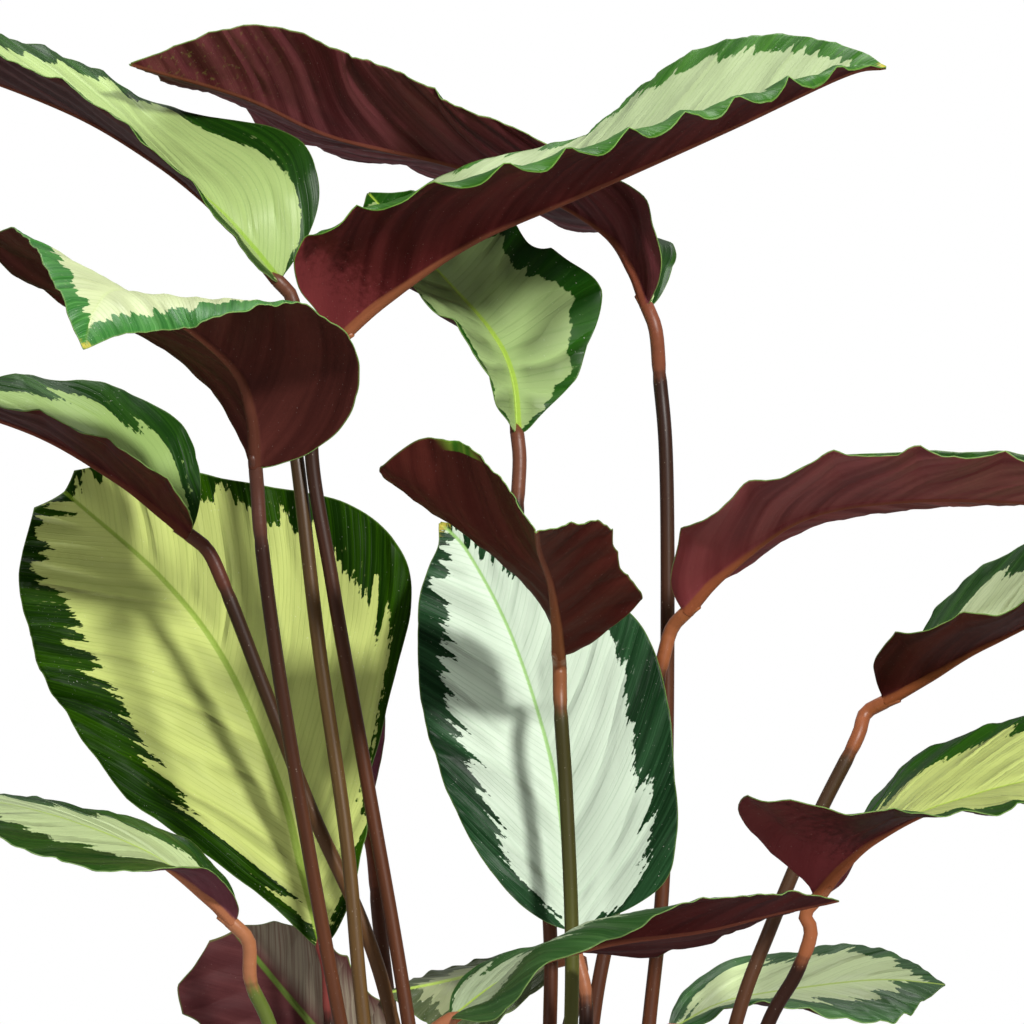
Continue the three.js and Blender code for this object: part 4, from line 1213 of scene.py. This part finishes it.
print("pot, soil and rhizome materials")
potMaterial = plainMaterial("pot_plastic", potForm["color"], potForm["grain"], scale=900,
                            roughness=0.42, bump=0.03)
soilMaterial = plainMaterial("soil_crumb", soilForm["color"], soilForm["dark"], scale=420,
                             roughness=0.9, bump=0.5)
perliteMaterial = plainMaterial("perlite_white", soilForm["perliteColor"],
                                soilForm["perliteDark"], scale=700, roughness=0.8, bump=0.2)
rhizomeMaterial = plainMaterial("rhizome_skin", rhizomeForm["color"], rhizomeForm["dark"],
                                scale=260, roughness=0.75, bump=0.3)

print("leaves")
for name, shape in leaves.items():
    leaf = {**plainLeaf, **shape}
    look = {**plainLook, **looks.get(name, {})}
    materials = [upperFace(name, look), underFace(name, look), edgeFace(name, look)]
    blade = bladePiece(name, leaf, look, materials)
    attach(blade, "root")
    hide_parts("blade_" + name)
    stalk = stalkPiece(name, leaf, [stalkSkin(name, look)])
    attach(stalk, "root")
    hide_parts("stalk_" + name)

print("pot, soil and rhizome")
for piece, node, slot in (
    (potPiece(potMaterial), "pot", "pot"),
    (soilPiece(soilMaterial, perliteMaterial), "soil", "soil"),
    (rhizomePiece(rhizomeMaterial), "rhizome", "rhizome"),
):
    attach(piece, "root")
    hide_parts(node)


# Floor, light and camera

studio = {
    "floorHalf": 1.5,
    "floorDrop": 0.0005,
    "floorColor": (218, 217, 215),
    "floorShade": (212, 211, 209),
    "lights": {
        "key": dict(place=(1.2, -2.6, 1.88), target=(0, 0, 0.46), size=0.34, power=112,
                    color=(1.0, 0.985, 0.96)),
        "top": dict(place=(-0.1, 0.5, 2.4), target=(0, 0, 0.46), size=1.1, power=27,
                    color=(1.0, 1.0, 1.0)),
        "fill": dict(place=(-2.4, -2.0, 1.3), target=(0, 0, 0.45), size=2.4, power=10,
                     color=(0.97, 0.985, 1.0)),
    },
    "roomLevel": 0.2,  # light from all round
    "farLevel": 0.6,  # what the far side of the room adds
    "topLevel": 0.2,  # what the ceiling adds
    "glossyLoss": 0.6,  # how much of it all a reflection leaves out
    "camera": (-0.0063, -10, 0.4958),
    "sensor": 36,  # millimetres, like the lens
    "lens": 1004.46,
}


def areaLight(name, place, target, size, power, color):
    light = bpy.data.lights.new(name, "AREA")
    light.shape = "DISK"
    light.size = size
    light.energy = power
    light.color = color
    lamp = bpy.data.objects.new(name, light)
    lamp.location = place
    lamp.rotation_euler = (Vector(target) - Vector(place)).to_track_quat("-Z", "Y").to_euler()
    bpy.context.scene.collection.objects.link(lamp)


print("floor, light and camera")
half = studio["floorHalf"] / toMetres
floorMaterial = plainMaterial("floor_pale", studio["floorColor"], studio["floorShade"], scale=6,
                              roughness=0.6)
floor = meshPiece("floor", [[-half, -half, 0], [half, -half, 0], [half, half, 0],
                            [-half, half, 0]], [[0, 1, 2, 3]], [floorMaterial])
floor.location.z = -studio["floorDrop"]
floor.visible_glossy = False

for name, lamp in studio["lights"].items():
    areaLight(name, **lamp)

world = bpy.data.worlds.new("studio")
bpy.context.scene.world = world
world.use_nodes = True
world.node_tree.nodes.clear()
start = Wire(world.node_tree, None)
heading = start.node("ShaderNodeTexCoord", {}, {}, 0).parts()
bright = (studio["roomLevel"] + heading[1].within(-0.2, 0.8) * studio["farLevel"]
          + heading[2].within(0.1, 1.0) * studio["topLevel"])
bright = bright * (1 - start.node("ShaderNodeLightPath", {}, {}, 3) * studio["glossyLoss"])
soft = start.node("ShaderNodeBackground", {}, {"Color": (1, 1, 1, 1), "Strength": bright})
white = start.node("ShaderNodeBackground", {}, {"Color": (1, 1, 1, 1), "Strength": 1.0})
seen = start.node("ShaderNodeLightPath", {}, {}, 0)
both = start.node("ShaderNodeMixShader", {}, {0: seen, 1: soft, 2: white})
result = world.node_tree.nodes.new("ShaderNodeOutputWorld")
world.node_tree.links.new(both.socket, result.inputs[0])
bpy.context.scene.view_settings.view_transform = "Standard"

cameraData = bpy.data.cameras.new("camera")
cameraData.sensor_width = studio["sensor"]
cameraData.lens = studio["lens"]
cameraData.clip_start = 0.1
cameraData.clip_end = 40
camera = bpy.data.objects.new("camera", cameraData)
camera.location = studio["camera"]
camera.rotation_euler = (math.pi / 2, 0, 0)
bpy.context.scene.collection.objects.link(camera)
bpy.context.scene.camera = camera
